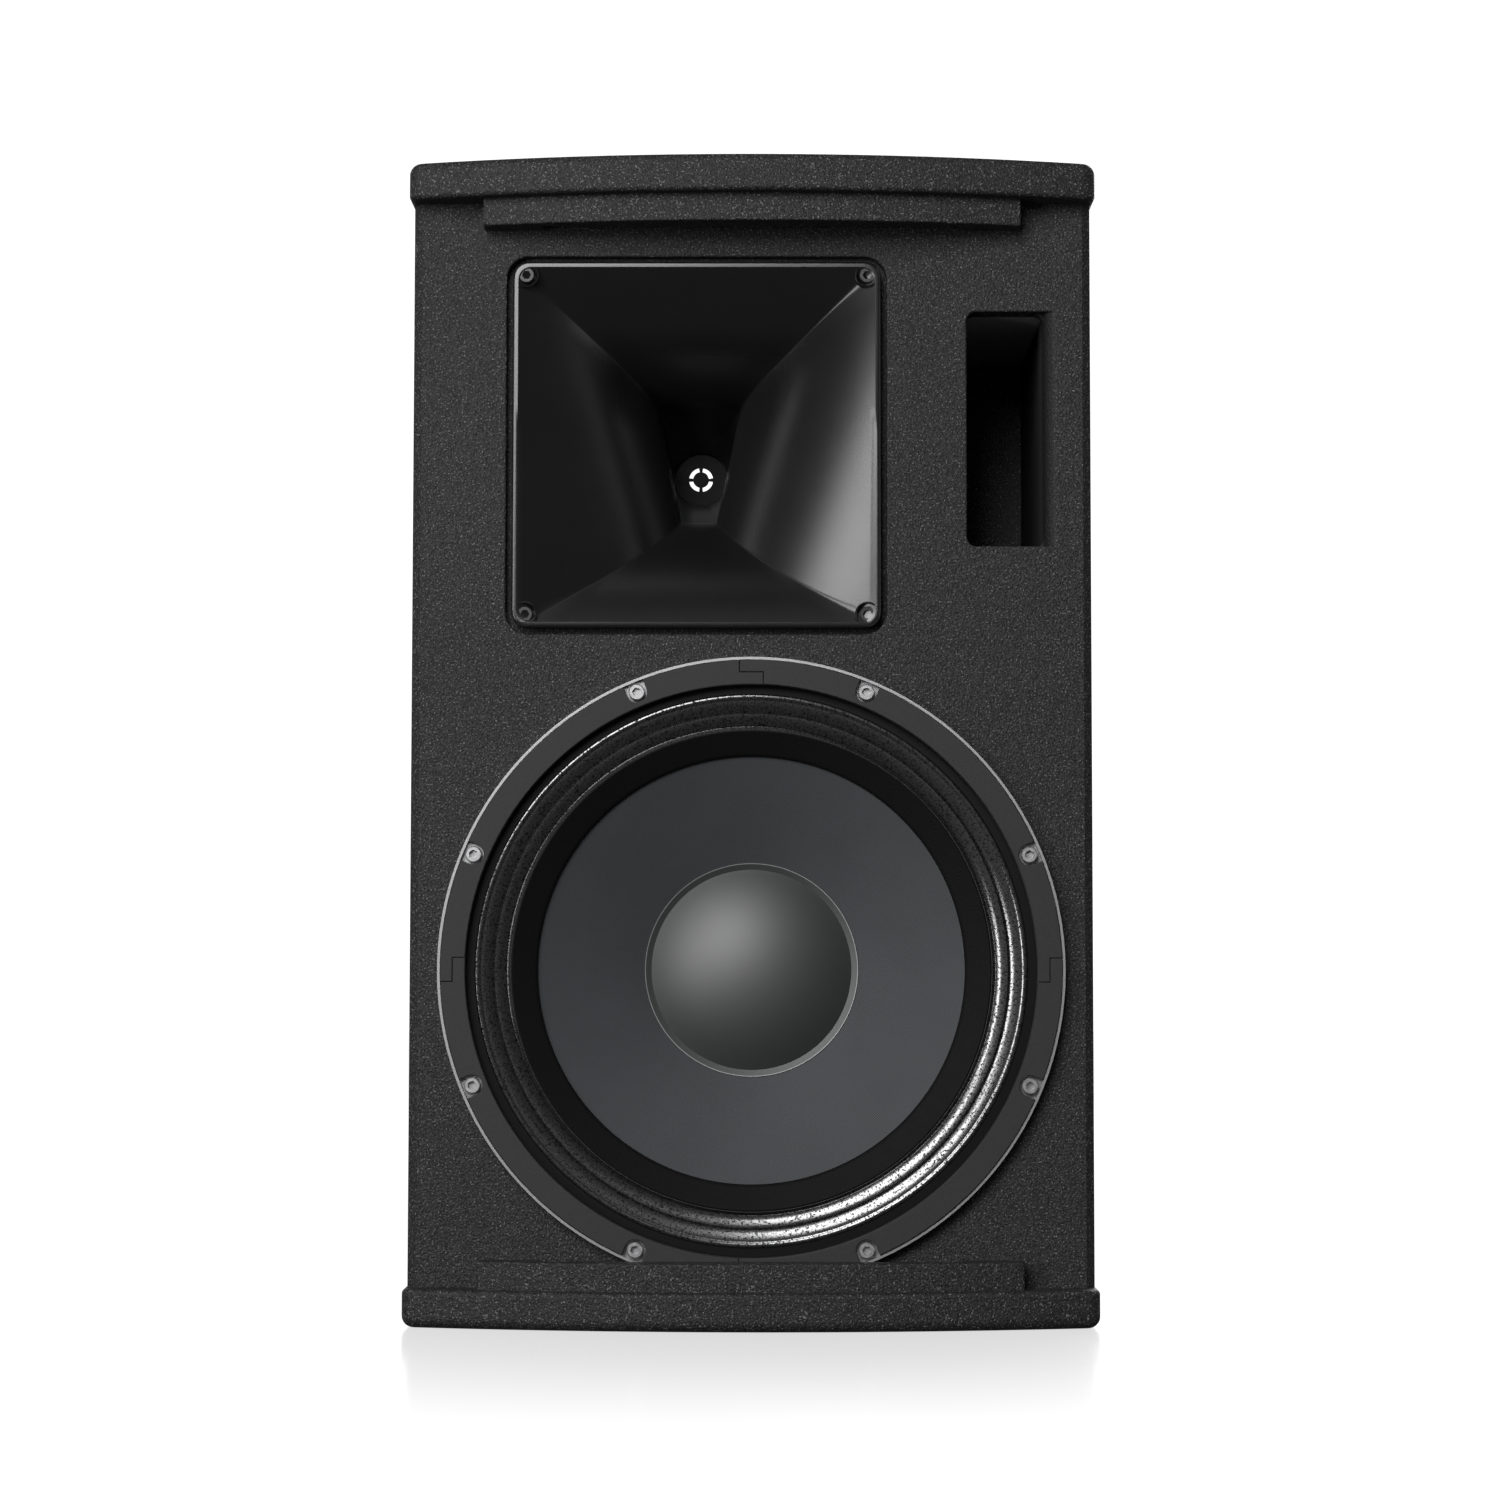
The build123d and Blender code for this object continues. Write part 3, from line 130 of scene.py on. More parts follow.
# ---- Painted plywood cabinet ----
# Six panels of 18 mm birch plywood, glued and sprayed with a thick water-based paint that dries as a
# hard pebbled skin. The two grille rails are sprayed with them. The port's boards get paler and darker
# copies of the paint, as painted light and shade.
class Wire:
    """A socket that carries a number or a vector; arithmetic on it adds Math nodes."""

    def __init__(self, recipe, socket):
        self.recipe = recipe
        self.socket = socket

    def math(self, operation, *values):
        """The result of one Math node."""
        return self.recipe.node("ShaderNodeMath", {"operation": operation}, dict(enumerate(values)))

    def __add__(self, other):
        return self.math("ADD", self, other)

    def __sub__(self, other):
        return self.math("SUBTRACT", self, other)

    def __mul__(self, other):
        return self.math("MULTIPLY", self, other)

    def __truediv__(self, other):
        return self.math("DIVIDE", self, other)

    def __pow__(self, other):
        return self.math("POWER", self, other)

    def __rsub__(self, other):
        return self.math("SUBTRACT", other, self)

    __radd__ = __add__
    __rmul__ = __mul__

    def sine(self):
        """The sine of it, in radians."""
        return self.math("SINE", self)

    def above(self, level, softness):
        """0 below level and 1 above it, with a smooth step of that width between."""
        settings = {"interpolation_type": "SMOOTHSTEP"}
        sockets = {"Value": self, "From Min": level - softness / 2, "From Max": level + softness / 2}
        return self.recipe.node("ShaderNodeMapRange", settings, sockets)


class Recipe:
    """One finish: a Principled shader, its constants, and the nodes that vary it over the surface."""

    def __init__(self, name, **constants):
        self.material = bpy.data.materials.new(name)
        self.material.use_nodes = True
        self.tree = self.material.node_tree
        self.shader = self.tree.nodes["Principled BSDF"]
        for socket, value in constants.items():
            self.shader.inputs[socket.replace("_", " ")].default_value = value
        self.place = self.node("ShaderNodeTexCoord", out="Object")

    def node(self, kind, settings=None, sockets=None, out=0):
        """Adds a node with those settings and inputs, and gives the output that is named or numbered."""
        node = self.tree.nodes.new(kind)
        for key, value in (settings or {}).items():
            setattr(node, key, value)
        for key, value in (sockets or {}).items():
            if isinstance(value, Wire):
                self.tree.links.new(value.socket, node.inputs[key])
            else:
                node.inputs[key].default_value = value
        return Wire(self, node.outputs[out])

    def feed(self, socket, wire):
        """Joins a wire to one of the shader's inputs."""
        self.tree.links.new(wire.socket, self.shader.inputs[socket])

    def axes(self):
        """The three object coordinates, in metres."""
        split = self.node("ShaderNodeSeparateXYZ", None, {0: self.place})
        outputs = split.socket.node.outputs
        return [Wire(self, outputs[i]) for i in range(3)]

    def noise(self, per_metre, detail=2.0, roughness=0.5, stretch=None):
        """Cloudy noise with that many cells per metre, drawn out along an axis by stretch."""
        place = self.place
        if stretch:
            place = self.node("ShaderNodeVectorMath", {"operation": "MULTIPLY"}, {0: place, 1: stretch})
        sockets = {"Vector": place, "Scale": per_metre, "Detail": detail, "Roughness": roughness}
        return self.node("ShaderNodeTexNoise", None, sockets, "Fac")

    def cells(self, per_metre):
        """Distance to the nearest of many scattered points, that many per metre."""
        sockets = {"Vector": self.place, "Scale": per_metre}
        return self.node("ShaderNodeTexVoronoi", None, sockets, "Distance")

    def blend(self, mask, low, high):
        """Colour low where mask is 0 and high where it is 1."""
        first = low if isinstance(low, Wire) else (*low, 1)
        second = high if isinstance(high, Wire) else (*high, 1)
        return self.node("ShaderNodeMix", {"data_type": "RGBA"}, {0: mask, 6: first, 7: second}, 2)

    def relief(self, height, depth, strength=1.0):
        """Lets height, from 0 to 1, stand that many metres proud."""
        sockets = {"Height": height, "Distance": depth, "Strength": strength}
        self.feed("Normal", self.node("ShaderNodeBump", None, sockets))

    def mottle(self, pattern, low, high, smooth=None, rougher=0.0, depth=0.0, strength=1.0):
        """Varies the finish along a pattern of 0 to 1: the colour goes from low to high, the roughness
        from smooth up by rougher, and the pattern stands depth metres proud."""
        self.feed("Base Color", self.blend(pattern, low, high))
        if smooth is not None:
            self.feed("Roughness", smooth + rougher * pattern)
        if depth:
            self.relief(pattern, depth, strength)

    def coat(self, *names):
        """Gives these CAD pieces this finish."""
        for name in names:
            nodes[name].data.materials.clear()
            nodes[name].data.materials.append(self.material)


pebbles_per_metre = 760
glint_cells_per_metre = 860
paint = Recipe("textured_paint", Specular_IOR_Level=0.25)
pebbles = paint.noise(pebbles_per_metre, detail=1.5, roughness=0.6)
# Bright spots in the paint's colour are painted glints, standing for light sparkling off the pebbles.
painted_glints = paint.noise(glint_cells_per_metre, detail=1.0).above(0.66, 0.10)
cloud = paint.noise(9)
tone = pebbles.above(0.5, 0.34) * 0.8 + cloud * 0.2
skin = paint.blend(tone, (0.0036, 0.0036, 0.0037), (0.0235, 0.0238, 0.0241))
skin_with_painted_glints = paint.blend(painted_glints, skin, (0.115, 0.115, 0.115))

# The rounded lip of the port, at its outer side, is coloured near black: painted shade where the lip turns
# into the port.
wall_low, wall_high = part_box("port_outer_wall")
lip_width = 0.0081
lip_edge = 0.0008
baffle_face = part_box("front_baffle")[0].y
x, y, z = paint.axes()
across_lip = x.above(wall_low.x - lip_edge, lip_edge) * (1 - x.above(wall_low.x + lip_width, lip_edge))
up_lip = z.above(wall_low.z, lip_edge) * (1 - z.above(wall_high.z, lip_edge))
painted_lip_shade = across_lip * up_lip * y.above(baffle_face + lip_edge / 2, lip_edge)
# Near-black colour on the port's outer lip: painted shade.
paint.feed("Base Color", paint.blend(painted_lip_shade, skin_with_painted_glints, (0.007, 0.007, 0.007)))
paint.feed("Roughness", 0.52 + 0.2 * cloud)
paint.relief(pebbles, 0.0012, 0.8)
paint.coat(
    "top_panel", "bottom_panel", "left_side_panel", "right_side_panel", "rear_panel", "front_baffle",
    "upper_grille_rail", "lower_grille_rail",
)

# Inside the port the floor and the inner and back walls take a paler copy of the paint with bright specks:
# painted light and painted glints in the port's shade. The ceiling is a plain paler grey, as painted light,
# and the outer wall is a darker copy with a finer grain, as painted shade.
lit_port_coat = Recipe("port_painted_light", Roughness=0.7, Specular_IOR_Level=0.25)
# Bright specks in the port's paint are painted glints.
port_glint_specks = lit_port_coat.noise(glint_cells_per_metre, detail=1.5, roughness=0.6).above(0.6, 0.14)
lit_port_coat.mottle(port_glint_specks, low=(0.035, 0.035, 0.035), high=(0.22, 0.22, 0.22), depth=0.0008, strength=0.8)
lit_port_coat.coat("port_floor", "port_inner_wall", "port_back_wall")

# The port's ceiling is a plain pale grey: painted light on a face turned down into shade.
painted_light_ceiling = Recipe("port_ceiling_painted_light", Roughness=0.7)
flow = painted_light_ceiling.noise(180, detail=4)
painted_light_ceiling.mottle(flow, low=(0.20, 0.20, 0.20), high=(0.30, 0.30, 0.30), depth=0.0003, strength=0.4)
painted_light_ceiling.coat("port_ceiling")

# A darker copy of the paint on the port's outer wall: painted shade.
port_wall_painted_shade = Recipe("port_wall_shade_paint", Roughness=0.75, Specular_IOR_Level=0.15)
shade_grain = port_wall_painted_shade.noise(500, detail=4)
port_wall_painted_shade.mottle(shade_grain, low=(0.012, 0.012, 0.012), high=(0.022, 0.022, 0.022), depth=0.0002, strength=0.4)
port_wall_painted_shade.coat("port_outer_wall")

# ---- Brace ----
# A bare strip of birch plywood, sawn to length and glued between the side panels to stiffen them.
# Its faces show long grain, its edges the plies.
ply_sheet = 0.0014
birch = Recipe("birch_plywood", Roughness=0.62)
grain = birch.noise(60, detail=6, roughness=0.6, stretch=(0.12, 1.0, 2.2))
plies = ((birch.axes()[1] / ply_sheet) * pi).sine() * 0.5 + 0.5
streaks = 0.75 * grain + 0.25 * plies
birch.feed("Base Color", birch.blend(streaks, (0.36, 0.21, 0.10), (0.74, 0.55, 0.34)))
birch.relief(grain, 0.0003, 0.4)
birch.coat("cross_brace")

# ---- Horn ----
# One moulding of black polycarbonate: a flat rim, four walls that flare from an upright slot to the
# square mouth, a channel from the slot back to a round exit, and a flange that carries the driver.
horn_low, horn_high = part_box("horn_flare")
horn_x = (horn_low.x + horn_high.x) / 2
horn_z = (horn_low.z + horn_high.z) / 2
horn_front = horn_low.y
horn_back = horn_high.y
rim_half = (horn_high.x - horn_low.x) / 2
rim_corner = 0.0105
rim_round = 0.0018
rim_lip = 0.0035
mouth_half = rim_half - rim_lip
mouth_corner = 0.008
slot_top_half = 0.0269
slot_bottom_half = 0.0117
slot_half_height = 0.0375
slot_place = 0.097
flange_back = 0.010
exit_radius = 0.018
tail_radius = 0.066
tail_thickness = 0.008
horn_wall = 0.004
crease_radius = 0.0012
flare_power = 1.86
bottom_power = 2.64
corner_power = 12
channel_corner_power = 1.5
mouth_crowding = 1.1
arc_points = 7
side_points = 12


def surface(name, points, material, closed_rows=True, closed_columns=True, sharp=25):
    """Mesh through a grid of points, rows by columns by xyz: every four neighbours make a face.
    A closed direction joins its last line of points to its first. Points that coincide are merged,
    faces are turned outwards, and edges sharper than that many degrees stay crisp."""
    rows, columns = points.shape[:2]
    index = np.arange(rows * columns).reshape(rows, columns)
    if closed_rows:
        index = np.concatenate([index, index[:1]])
    if closed_columns:
        index = np.concatenate([index, index[:, :1]], axis=1)
    corners = [index[:-1, :-1], index[:-1, 1:], index[1:, 1:], index[1:, :-1]]
    quads = np.stack(corners, axis=-1).reshape(-1, 4)
    mesh = bpy.data.meshes.new(name)
    mesh.from_pydata(points.reshape(-1, 3).tolist(), [], quads.tolist())
    work = bmesh.new()
    work.from_mesh(mesh)
    bmesh.ops.remove_doubles(work, verts=work.verts, dist=1e-6)
    bmesh.ops.dissolve_degenerate(work, edges=work.edges, dist=1e-7)
    bmesh.ops.recalc_face_normals(work, faces=work.faces)
    work.to_mesh(mesh)
    work.free()
    mesh.shade_smooth()
    mesh.set_sharp_from_angle(angle=radians(sharp))
    mesh.materials.append(material)
    piece = bpy.data.objects.new(name, mesh)
    bpy.context.scene.collection.objects.link(piece)
    return piece


def four_sided(top_half, bottom_half, half_height, corner, depth):
    """Outlines with four sides and round corners, one for each value of the arrays. Each corner is a
    quarter circle about a centre that lies the radius inside it, and straight lines join the corners."""
    turn = np.linspace(0, pi / 2, arc_points)
    centre_x = np.stack([top_half, -top_half, -bottom_half, bottom_half], axis=1)
    centre_x = centre_x - np.sign(centre_x) * corner[:, None]
    lift = np.array([1, 1, -1, -1])
    centre_z = lift * (half_height - corner)[:, None]
    angle = turn + np.array([0, 1, 2, 3])[:, None] * pi / 2
    arc_x = centre_x[:, :, None] + corner[:, None, None] * np.cos(angle)
    arc_z = centre_z[:, :, None] + corner[:, None, None] * np.sin(angle)
    share = np.linspace(0, 1, side_points + 2)[1:-1]
    next_x = np.roll(arc_x[:, :, 0], -1, axis=1)[:, :, None]
    next_z = np.roll(arc_z[:, :, 0], -1, axis=1)[:, :, None]
    side_x = arc_x[:, :, -1:] * (1 - share) + next_x * share
    side_z = arc_z[:, :, -1:] * (1 - share) + next_z * share
    across = np.concatenate([arc_x, side_x], axis=2).reshape(len(corner), -1)
    up = np.concatenate([arc_z, side_z], axis=2).reshape(len(corner), -1)
    back = np.repeat(depth[:, None], across.shape[1], axis=1)
    return np.stack([horn_x + across, horn_front + back, horn_z + up], axis=-1)


def flare(place, wall):
    """The four walls at shares of the way from the mouth, 0, to the slot, 1. A half width is the
    slot's plus what is left of the mouth's, times a power of the way still to go."""
    left = 1 - place
    return four_sided(
        slot_top_half + (mouth_half - slot_top_half) * left**flare_power + wall,
        slot_bottom_half + (mouth_half - slot_bottom_half) * left**bottom_power + wall,
        slot_half_height + (mouth_half - slot_half_height) * left**flare_power + wall,
        crease_radius + (mouth_corner - crease_radius) * left**corner_power + wall,
        slot_place * place,
    )


def channel(place, wall):
    """The passage at shares of the way from the slot, 0, to the round exit, 1."""
    reach = horn_back - horn_front - slot_place
    return four_sided(
        slot_top_half + (exit_radius - slot_top_half) * place + wall,
        slot_bottom_half + (exit_radius - slot_bottom_half) * place + wall,
        slot_half_height + (exit_radius - slot_half_height) * place + wall,
        crease_radius + (exit_radius - crease_radius) * place**channel_corner_power + wall,
        slot_place + reach * place,
    )


def square_rim(halves, corners, depths):
    """Square outlines of those half widths, corner radii and depths."""
    halves = np.array(halves)
    return four_sided(halves, halves, halves, np.array(corners), np.array(depths))


horn_length = horn_back - horn_front
tail_share = 1 - tail_thickness / (horn_length - slot_place)
edge_turn = np.linspace(0, pi / 2, 6)
rim_edge = rim_half - rim_round + rim_round * np.cos(edge_turn)

# The outlines run from the mouth in along the flare, back through the channel, over the flange at its
# end, forward again one wall further out, and round the edge of the rim.
horn_points = np.concatenate([
    flare(np.linspace(0, 1, 44) ** mouth_crowding, 0),
    channel(np.linspace(0, 1, 18)[1:], 0),
    square_rim([tail_radius] * 2, [tail_radius] * 2, [horn_length, horn_length - tail_thickness]),
    channel(np.linspace(tail_share, 0, 8), horn_wall),
    flare(np.linspace(1, flange_back / slot_place, 24), horn_wall)[1:],
    square_rim([rim_half], [rim_corner], [flange_back]),
    square_rim(rim_edge, rim_corner - rim_half + rim_edge, rim_round - rim_round * np.sin(edge_turn)),
])
polycarbonate = Recipe("horn_plastic", IOR=1.52)
haze = polycarbonate.noise(14, detail=3)
polycarbonate.feed("Base Color", polycarbonate.blend(haze, (0.0035, 0.0035, 0.0035), (0.008, 0.008, 0.008)))
matt_depth = 0.055
depth_share = polycarbonate.axes()[1].above(horn_front + matt_depth, matt_depth)
polycarbonate.feed("Roughness", 0.21 + 0.06 * haze + 0.2 * depth_share)
polycarbonate.relief(polycarbonate.noise(2600), 0.00004, 0.3)
horn = surface("horn", horn_points, polycarbonate.material)
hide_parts("horn_flare")
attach(horn, "cabinet")


# ---- Horn screws ----
# Four black socket screws hold the horn down on a strip of foam tape. Each stands in a moulded cup in a
# corner of the mouth and bites into a plated tee nut behind the baffle.
def turned(profile, centre_x, centre_z, segments=96):
    """Points of a profile of (radius, y) carried round an axis that runs from front to back."""
    radius, back = np.array(profile).T
    angle = np.linspace(0, 2 * pi, segments, endpoint=False)
    across = centre_x + radius[:, None] * np.cos(angle)
    up = centre_z + radius[:, None] * np.sin(angle)
    return np.stack([across, np.repeat(back[:, None], segments, axis=1), up], axis=-1)


screw_low, screw_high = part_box("horn_screws")
screw_head = 0.005
cup_outer = 0.0079
cup_inner = 0.0067
cup_floor = 0.0065
cup_back = 0.0098
cup_lip = 0.0004
cup_hole = 0.0032
cup_profile = [
    (cup_hole, horn_front + cup_floor),
    (cup_inner - cup_lip, horn_front + cup_floor),
    (cup_inner, horn_front + cup_lip),
    ((cup_inner + cup_outer) / 2, horn_front),
    (cup_outer, horn_front + cup_lip),
    (cup_outer, horn_front + cup_back),
    (cup_hole, horn_front + cup_back),
]
for side, cup_x in (("left", screw_low.x + screw_head), ("right", screw_high.x - screw_head)):
    for row, cup_z in (("lower", screw_low.z + screw_head), ("upper", screw_high.z - screw_head)):
        cup_points = turned(cup_profile, cup_x, cup_z, segments=40)
        cup = surface(f"horn_cup_{row}_{side}", cup_points, polycarbonate.material)
        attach(cup, "cabinet")

black_steel = Recipe("black_steel", Metallic=0.6)
scuffs = black_steel.noise(900, detail=4)
black_steel.mottle(
    scuffs, low=(0.010, 0.010, 0.011), high=(0.045, 0.045, 0.047),
    smooth=0.28, rougher=0.2, depth=0.00005, strength=0.3,
)
black_steel.coat("horn_screws", "driver_bolts")

zinc = Recipe("zinc_plate", Metallic=0.85)
bloom = zinc.noise(420, detail=4)
zinc.mottle(
    bloom, low=(0.22, 0.22, 0.23), high=(0.46, 0.46, 0.46),
    smooth=0.30, rougher=0.22, depth=0.00006, strength=0.3,
)
zinc.coat("horn_tee_nuts", "woofer_tee_nuts", "woofer_screws", "motor_bolts")

foam_tape = Recipe("foam_tape", Roughness=0.9)
tape_cells = foam_tape.cells(1500)
foam_tape.mottle(
    tape_cells, low=(0.01, 0.01, 0.01), high=(0.035, 0.035, 0.035),
    depth=0.0002, strength=0.5,
)
foam_tape.coat("horn_gasket")

# ---- Compression driver ----
# A ferrite ring between two plated steel discs, a moulded plug whose slots gather the sound of a
# titanium dome, and a plastic cap over the dome. Four black screws hold it to the horn.
steel = Recipe("plated_steel", Metallic=0.9)
lathe = steel.noise(500, detail=3)
steel.mottle(
    lathe, low=(0.20, 0.20, 0.21), high=(0.42, 0.42, 0.42),
    smooth=0.32, rougher=0.2, depth=0.00005, strength=0.3,
)
steel.coat("driver_front_plate", "driver_back_plate", "woofer_top_plate", "woofer_back_plate")

ferrite = Recipe("ferrite")
crystals = ferrite.noise(1300, detail=5, roughness=0.7)
ferrite.mottle(
    crystals, low=(0.018, 0.018, 0.02), high=(0.07, 0.07, 0.075),
    smooth=0.45, rougher=0.3, depth=0.0002, strength=0.5,
)
ferrite.coat("driver_magnet", "woofer_magnet")

plug_plastic = Recipe("plug_plastic", Specular_IOR_Level=0.06)
swirl = plug_plastic.noise(160, detail=3)
plug_plastic.mottle(
    swirl, low=(0.002, 0.002, 0.002), high=(0.005, 0.005, 0.005),
    smooth=0.32, rougher=0.12,
)
plug_plastic.relief(plug_plastic.noise(2200), 0.00004, 0.3)
plug_plastic.coat("phase_plug")

# Four arcs of bright steel gauze close the outer ring of slots, a little behind the plug's face. Each is
# a rectangle of radius and depth carried through its share of a turn, and its ends are closed by lines
# of points that all lie at the end's middle.
plug_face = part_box("phase_plug")[0].y
gauze_inner = 0.0053
gauze_outer = 0.0080
gauze_set_back = 0.0007
gauze_thickness = 0.0004
gauze_gap = 0.00095
gauze = Recipe("steel_gauze", Metallic=1.0)
wires = gauze.noise(2400, detail=1)
gauze.mottle(wires, low=(0.80, 0.80, 0.80), high=(0.95, 0.95, 0.95), smooth=0.38, rougher=0.06)
half_turn = pi / 4 - gauze_gap / gauze_inner
radius = np.array([gauze_inner, gauze_outer, gauze_outer, gauze_inner])
back = plug_face + gauze_set_back + np.array([0, 0, gauze_thickness, gauze_thickness])
for quarter in range(4):
    turn = (quarter + 0.5) * pi / 2 + np.linspace(-half_turn, half_turn, 24)
    across = horn_x + radius * np.cos(turn)[:, None]
    up = horn_z + radius * np.sin(turn)[:, None]
    arc = np.stack([across, np.broadcast_to(back, across.shape), up], axis=-1)
    closing = arc.mean(axis=1, keepdims=True).repeat(4, axis=1)
    arc = np.concatenate([closing[:1], arc, closing[-1:]])
    arc_piece = surface(f"gauze_arc_{quarter}", arc, gauze.material, closed_rows=False)
    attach(arc_piece, "cabinet")

titanium = Recipe("titanium_foil", Metallic=1.0)
sheen = titanium.noise(260, detail=3, stretch=(1, 1, 0.2))
titanium.mottle(sheen, low=(0.42, 0.41, 0.39), high=(0.66, 0.65, 0.62), smooth=0.22, rougher=0.16)
titanium.coat("hf_diaphragm")

cap_plastic = Recipe("driver_cap_plastic")
spark = cap_plastic.noise(1400, detail=3)
cap_plastic.mottle(
    spark, low=(0.010, 0.010, 0.011), high=(0.03, 0.03, 0.031),
    smooth=0.42, rougher=0.2, depth=0.00015, strength=0.5,
)
cap_plastic.coat("driver_rear_cap")

# ---- Woofer frame ----
# A die-cast aluminium basket. Its outer rim and the seats under the screws are turned bright;
# everything inside the gasket is a satin near-black: painted shade for the deep groove between the gasket
# and the surround.
cone_low, cone_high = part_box("cone")
woofer_x = (cone_low.x + cone_high.x) / 2
woofer_z = (cone_low.z + cone_high.z) / 2
bright_radius = 0.1764
bright_depth = 0.004
spray_edge = 0.0004
spray_fade = 0.002


def from_woofer_axis(recipe):
    """How far a point of the finish lies from the woofer's axis, in metres."""
    x, _, z = recipe.axes()
    return ((x - woofer_x) ** 2 + (z - woofer_z) ** 2) ** 0.5


cast = Recipe("cast_aluminium", Specular_IOR_Level=0.12)
at_front = 1 - cast.axes()[1].above(baffle_face + bright_depth, spray_fade)
bright = from_woofer_axis(cast).above(bright_radius, spray_edge) * at_front
rings = cast.noise(1100, detail=3)
silver = cast.blend(rings, (0.22, 0.22, 0.23), (0.40, 0.40, 0.40))
# Near-black colour inside the bright rim: painted shade in the groove by the surround.
cast.feed("Base Color", cast.blend(bright, (0.003, 0.003, 0.003), silver))
cast.feed("Metallic", 0.75 * bright)
cast.feed("Roughness", 0.42 - 0.08 * bright + 0.15 * rings)
cast.relief(rings, 0.0001, 0.35)
cast.coat("woofer_frame")

# ---- Woofer gasket ----
# Four quarters of hard black rubber, keyed together by steps. They clamp the edge of the surround
# and are notched round the screws.
rubber = Recipe("gasket_rubber", Roughness=0.7, Specular_IOR_Level=0.3)
grit = rubber.noise(1500, detail=3, roughness=0.65)
rubber.mottle(grit, low=(0.007, 0.007, 0.007), high=(0.034, 0.034, 0.034), depth=0.0003, strength=0.45)
rubber.coat("gasket_upper_left", "gasket_upper_right", "gasket_lower_left", "gasket_lower_right")

# ---- Surround ----
# Cotton cloth pressed into one narrow and two wide rolls and doped with a shiny black lacquer. Its outer
# edge lies under the gasket, and its inner lap is glued flat over the edge of the cone, which it lets
# travel.
cloth_thickness = 0.0006
lap_inner = 0.1325
lap_step = 0.0012
lacquer_fade = 0.002
cone_edge = (cone_high.x - cone_low.x) / 2
cone_neck = 0.0498
neck_depth = 0.062
edge_depth = 0.0002
cone_slope = (neck_depth - edge_depth) / (cone_edge - cone_neck)


def cone_depth(radius):
    """Depth of the cone's front behind the baffle's face: a straight slope from its edge to its neck."""
    return edge_depth + (cone_edge - radius) * cone_slope


def roll(outer, inner, first_tilt, last_tilt, first_depth):
    """(radius, depth) over one roll: part of a circle from the outer radius, with one tilt, to the inner
    radius, with another. Tilts are in degrees, and a positive one leads backwards on the way in."""
    tilt = np.radians(np.linspace(first_tilt, last_tilt, 22))
    bend = (outer - inner) / (np.sin(tilt[-1]) - np.sin(tilt[0]))
    radius = outer - bend * (np.sin(tilt) - np.sin(tilt[0]))
    depth = first_depth + bend * (np.cos(tilt[0]) - np.cos(tilt))
    return np.stack([radius, depth], axis=1)


def cloth_ring(name, radius, depth, thickness, material, segments):
    """A ring of cloth: the line of (radius, depth) as its front, and the same line one thickness
    further back as its rear, carried round the woofer's axis."""
    front = np.stack([radius, baffle_face + depth], axis=1)
    rear = front[::-1] + np.array([0, thickness])
    points = turned(np.concatenate([front, rear]), woofer_x, woofer_z, segments)
    return surface(name, points, material, sharp=60)


def travel_with_cone(piece):
    """Bakes the ring's placement into its mesh and reads its points into an array. It doesn't make the ring
    follow the cabinet or the cone: no radius is held or carried, and nothing uses the points."""
    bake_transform(piece)
    place = np.zeros(len(piece.data.vertices) * 3, np.float32)
    piece.data.vertices.foreach_get("co", place)
    place = place.reshape(-1, 3)


# A flat edge under the gasket, then the rolls: radii, tilts and the depth at which each one starts.
folds = np.concatenate([
    [(0.1756, 0.0010), (0.1722, 0.0010)],
    roll(0.1708, 0.1676, -32, 32, -0.0014),
    roll(0.1670, 0.1597, 2, 32, -0.0012),
    roll(0.1585, 0.1510, 2, 38, -0.0010),
])
lap_radius = np.linspace(cone_edge - lap_step, lap_inner, 8)
lap_depth = cone_depth(lap_radius) - 2 * cloth_thickness
doped = Recipe("doped_cloth", Coat_Roughness=0.20, Coat_IOR=2.1, Specular_IOR_Level=0.12)
lacquer = from_woofer_axis(doped).above(cone_edge, lacquer_fade)
threads = doped.noise(720, detail=2, roughness=0.7)
drips = doped.noise(120, detail=3)
doped.feed("Base Color", doped.blend(threads, (0.0015, 0.0015, 0.0015), (0.0045, 0.0045, 0.0045)))
doped.feed("Roughness", 0.62 - 0.2 * lacquer + 0.1 * drips)
doped.feed("Coat Weight", lacquer * threads.above(0.44, 0.16))
doped.relief(threads, 0.0004, 0.7)
surround = cloth_ring(
    "doped_surround",
    np.concatenate([folds[:, 0], lap_radius]),
    np.concatenate([folds[:, 1], lap_depth]),
    cloth_thickness, doped.material, segments=240,
)
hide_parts("surround")
travel_with_cone(surround)

# ---- Cone ----
# A thin shell of woven glass cloth, pressed in grey resin. The weave runs level and upright across the
# whole cone. Its edge is glued to the surround and its neck to the voice coil.
cone_weave = 0.0015
cone_skin = 0.0012


def crossed_threads(recipe, pitch):
    """A sine across times a sine upward, each with one wave to a pitch, brought to between 0 and 1."""
    x, _, z = recipe.axes()
    warp = ((x / pitch) * 2 * pi).sine()
    weft = ((z / pitch) * 2 * pi).sine()
    return warp * weft * 0.5 + 0.5


woven = Recipe("woven_cone", Roughness=0.7, Specular_IOR_Level=0.2)
lattice = crossed_threads(woven, cone_weave)
stain = woven.noise(22, detail=4)
shades = lattice * 0.8 + stain * 0.2
woven.feed("Base Color", woven.blend(shades, (0.018, 0.019, 0.020), (0.074, 0.077, 0.083)))
woven.relief(lattice, 0.00012, 0.35)
shell_radius = np.linspace(cone_edge, cone_neck, 60)
shell_depth = cone_depth(shell_radius)
shell = cloth_ring("cone_shell", shell_radius, shell_depth, cone_skin, woven.material, segments=240)
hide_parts("cone")
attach(shell, "cone_assembly")

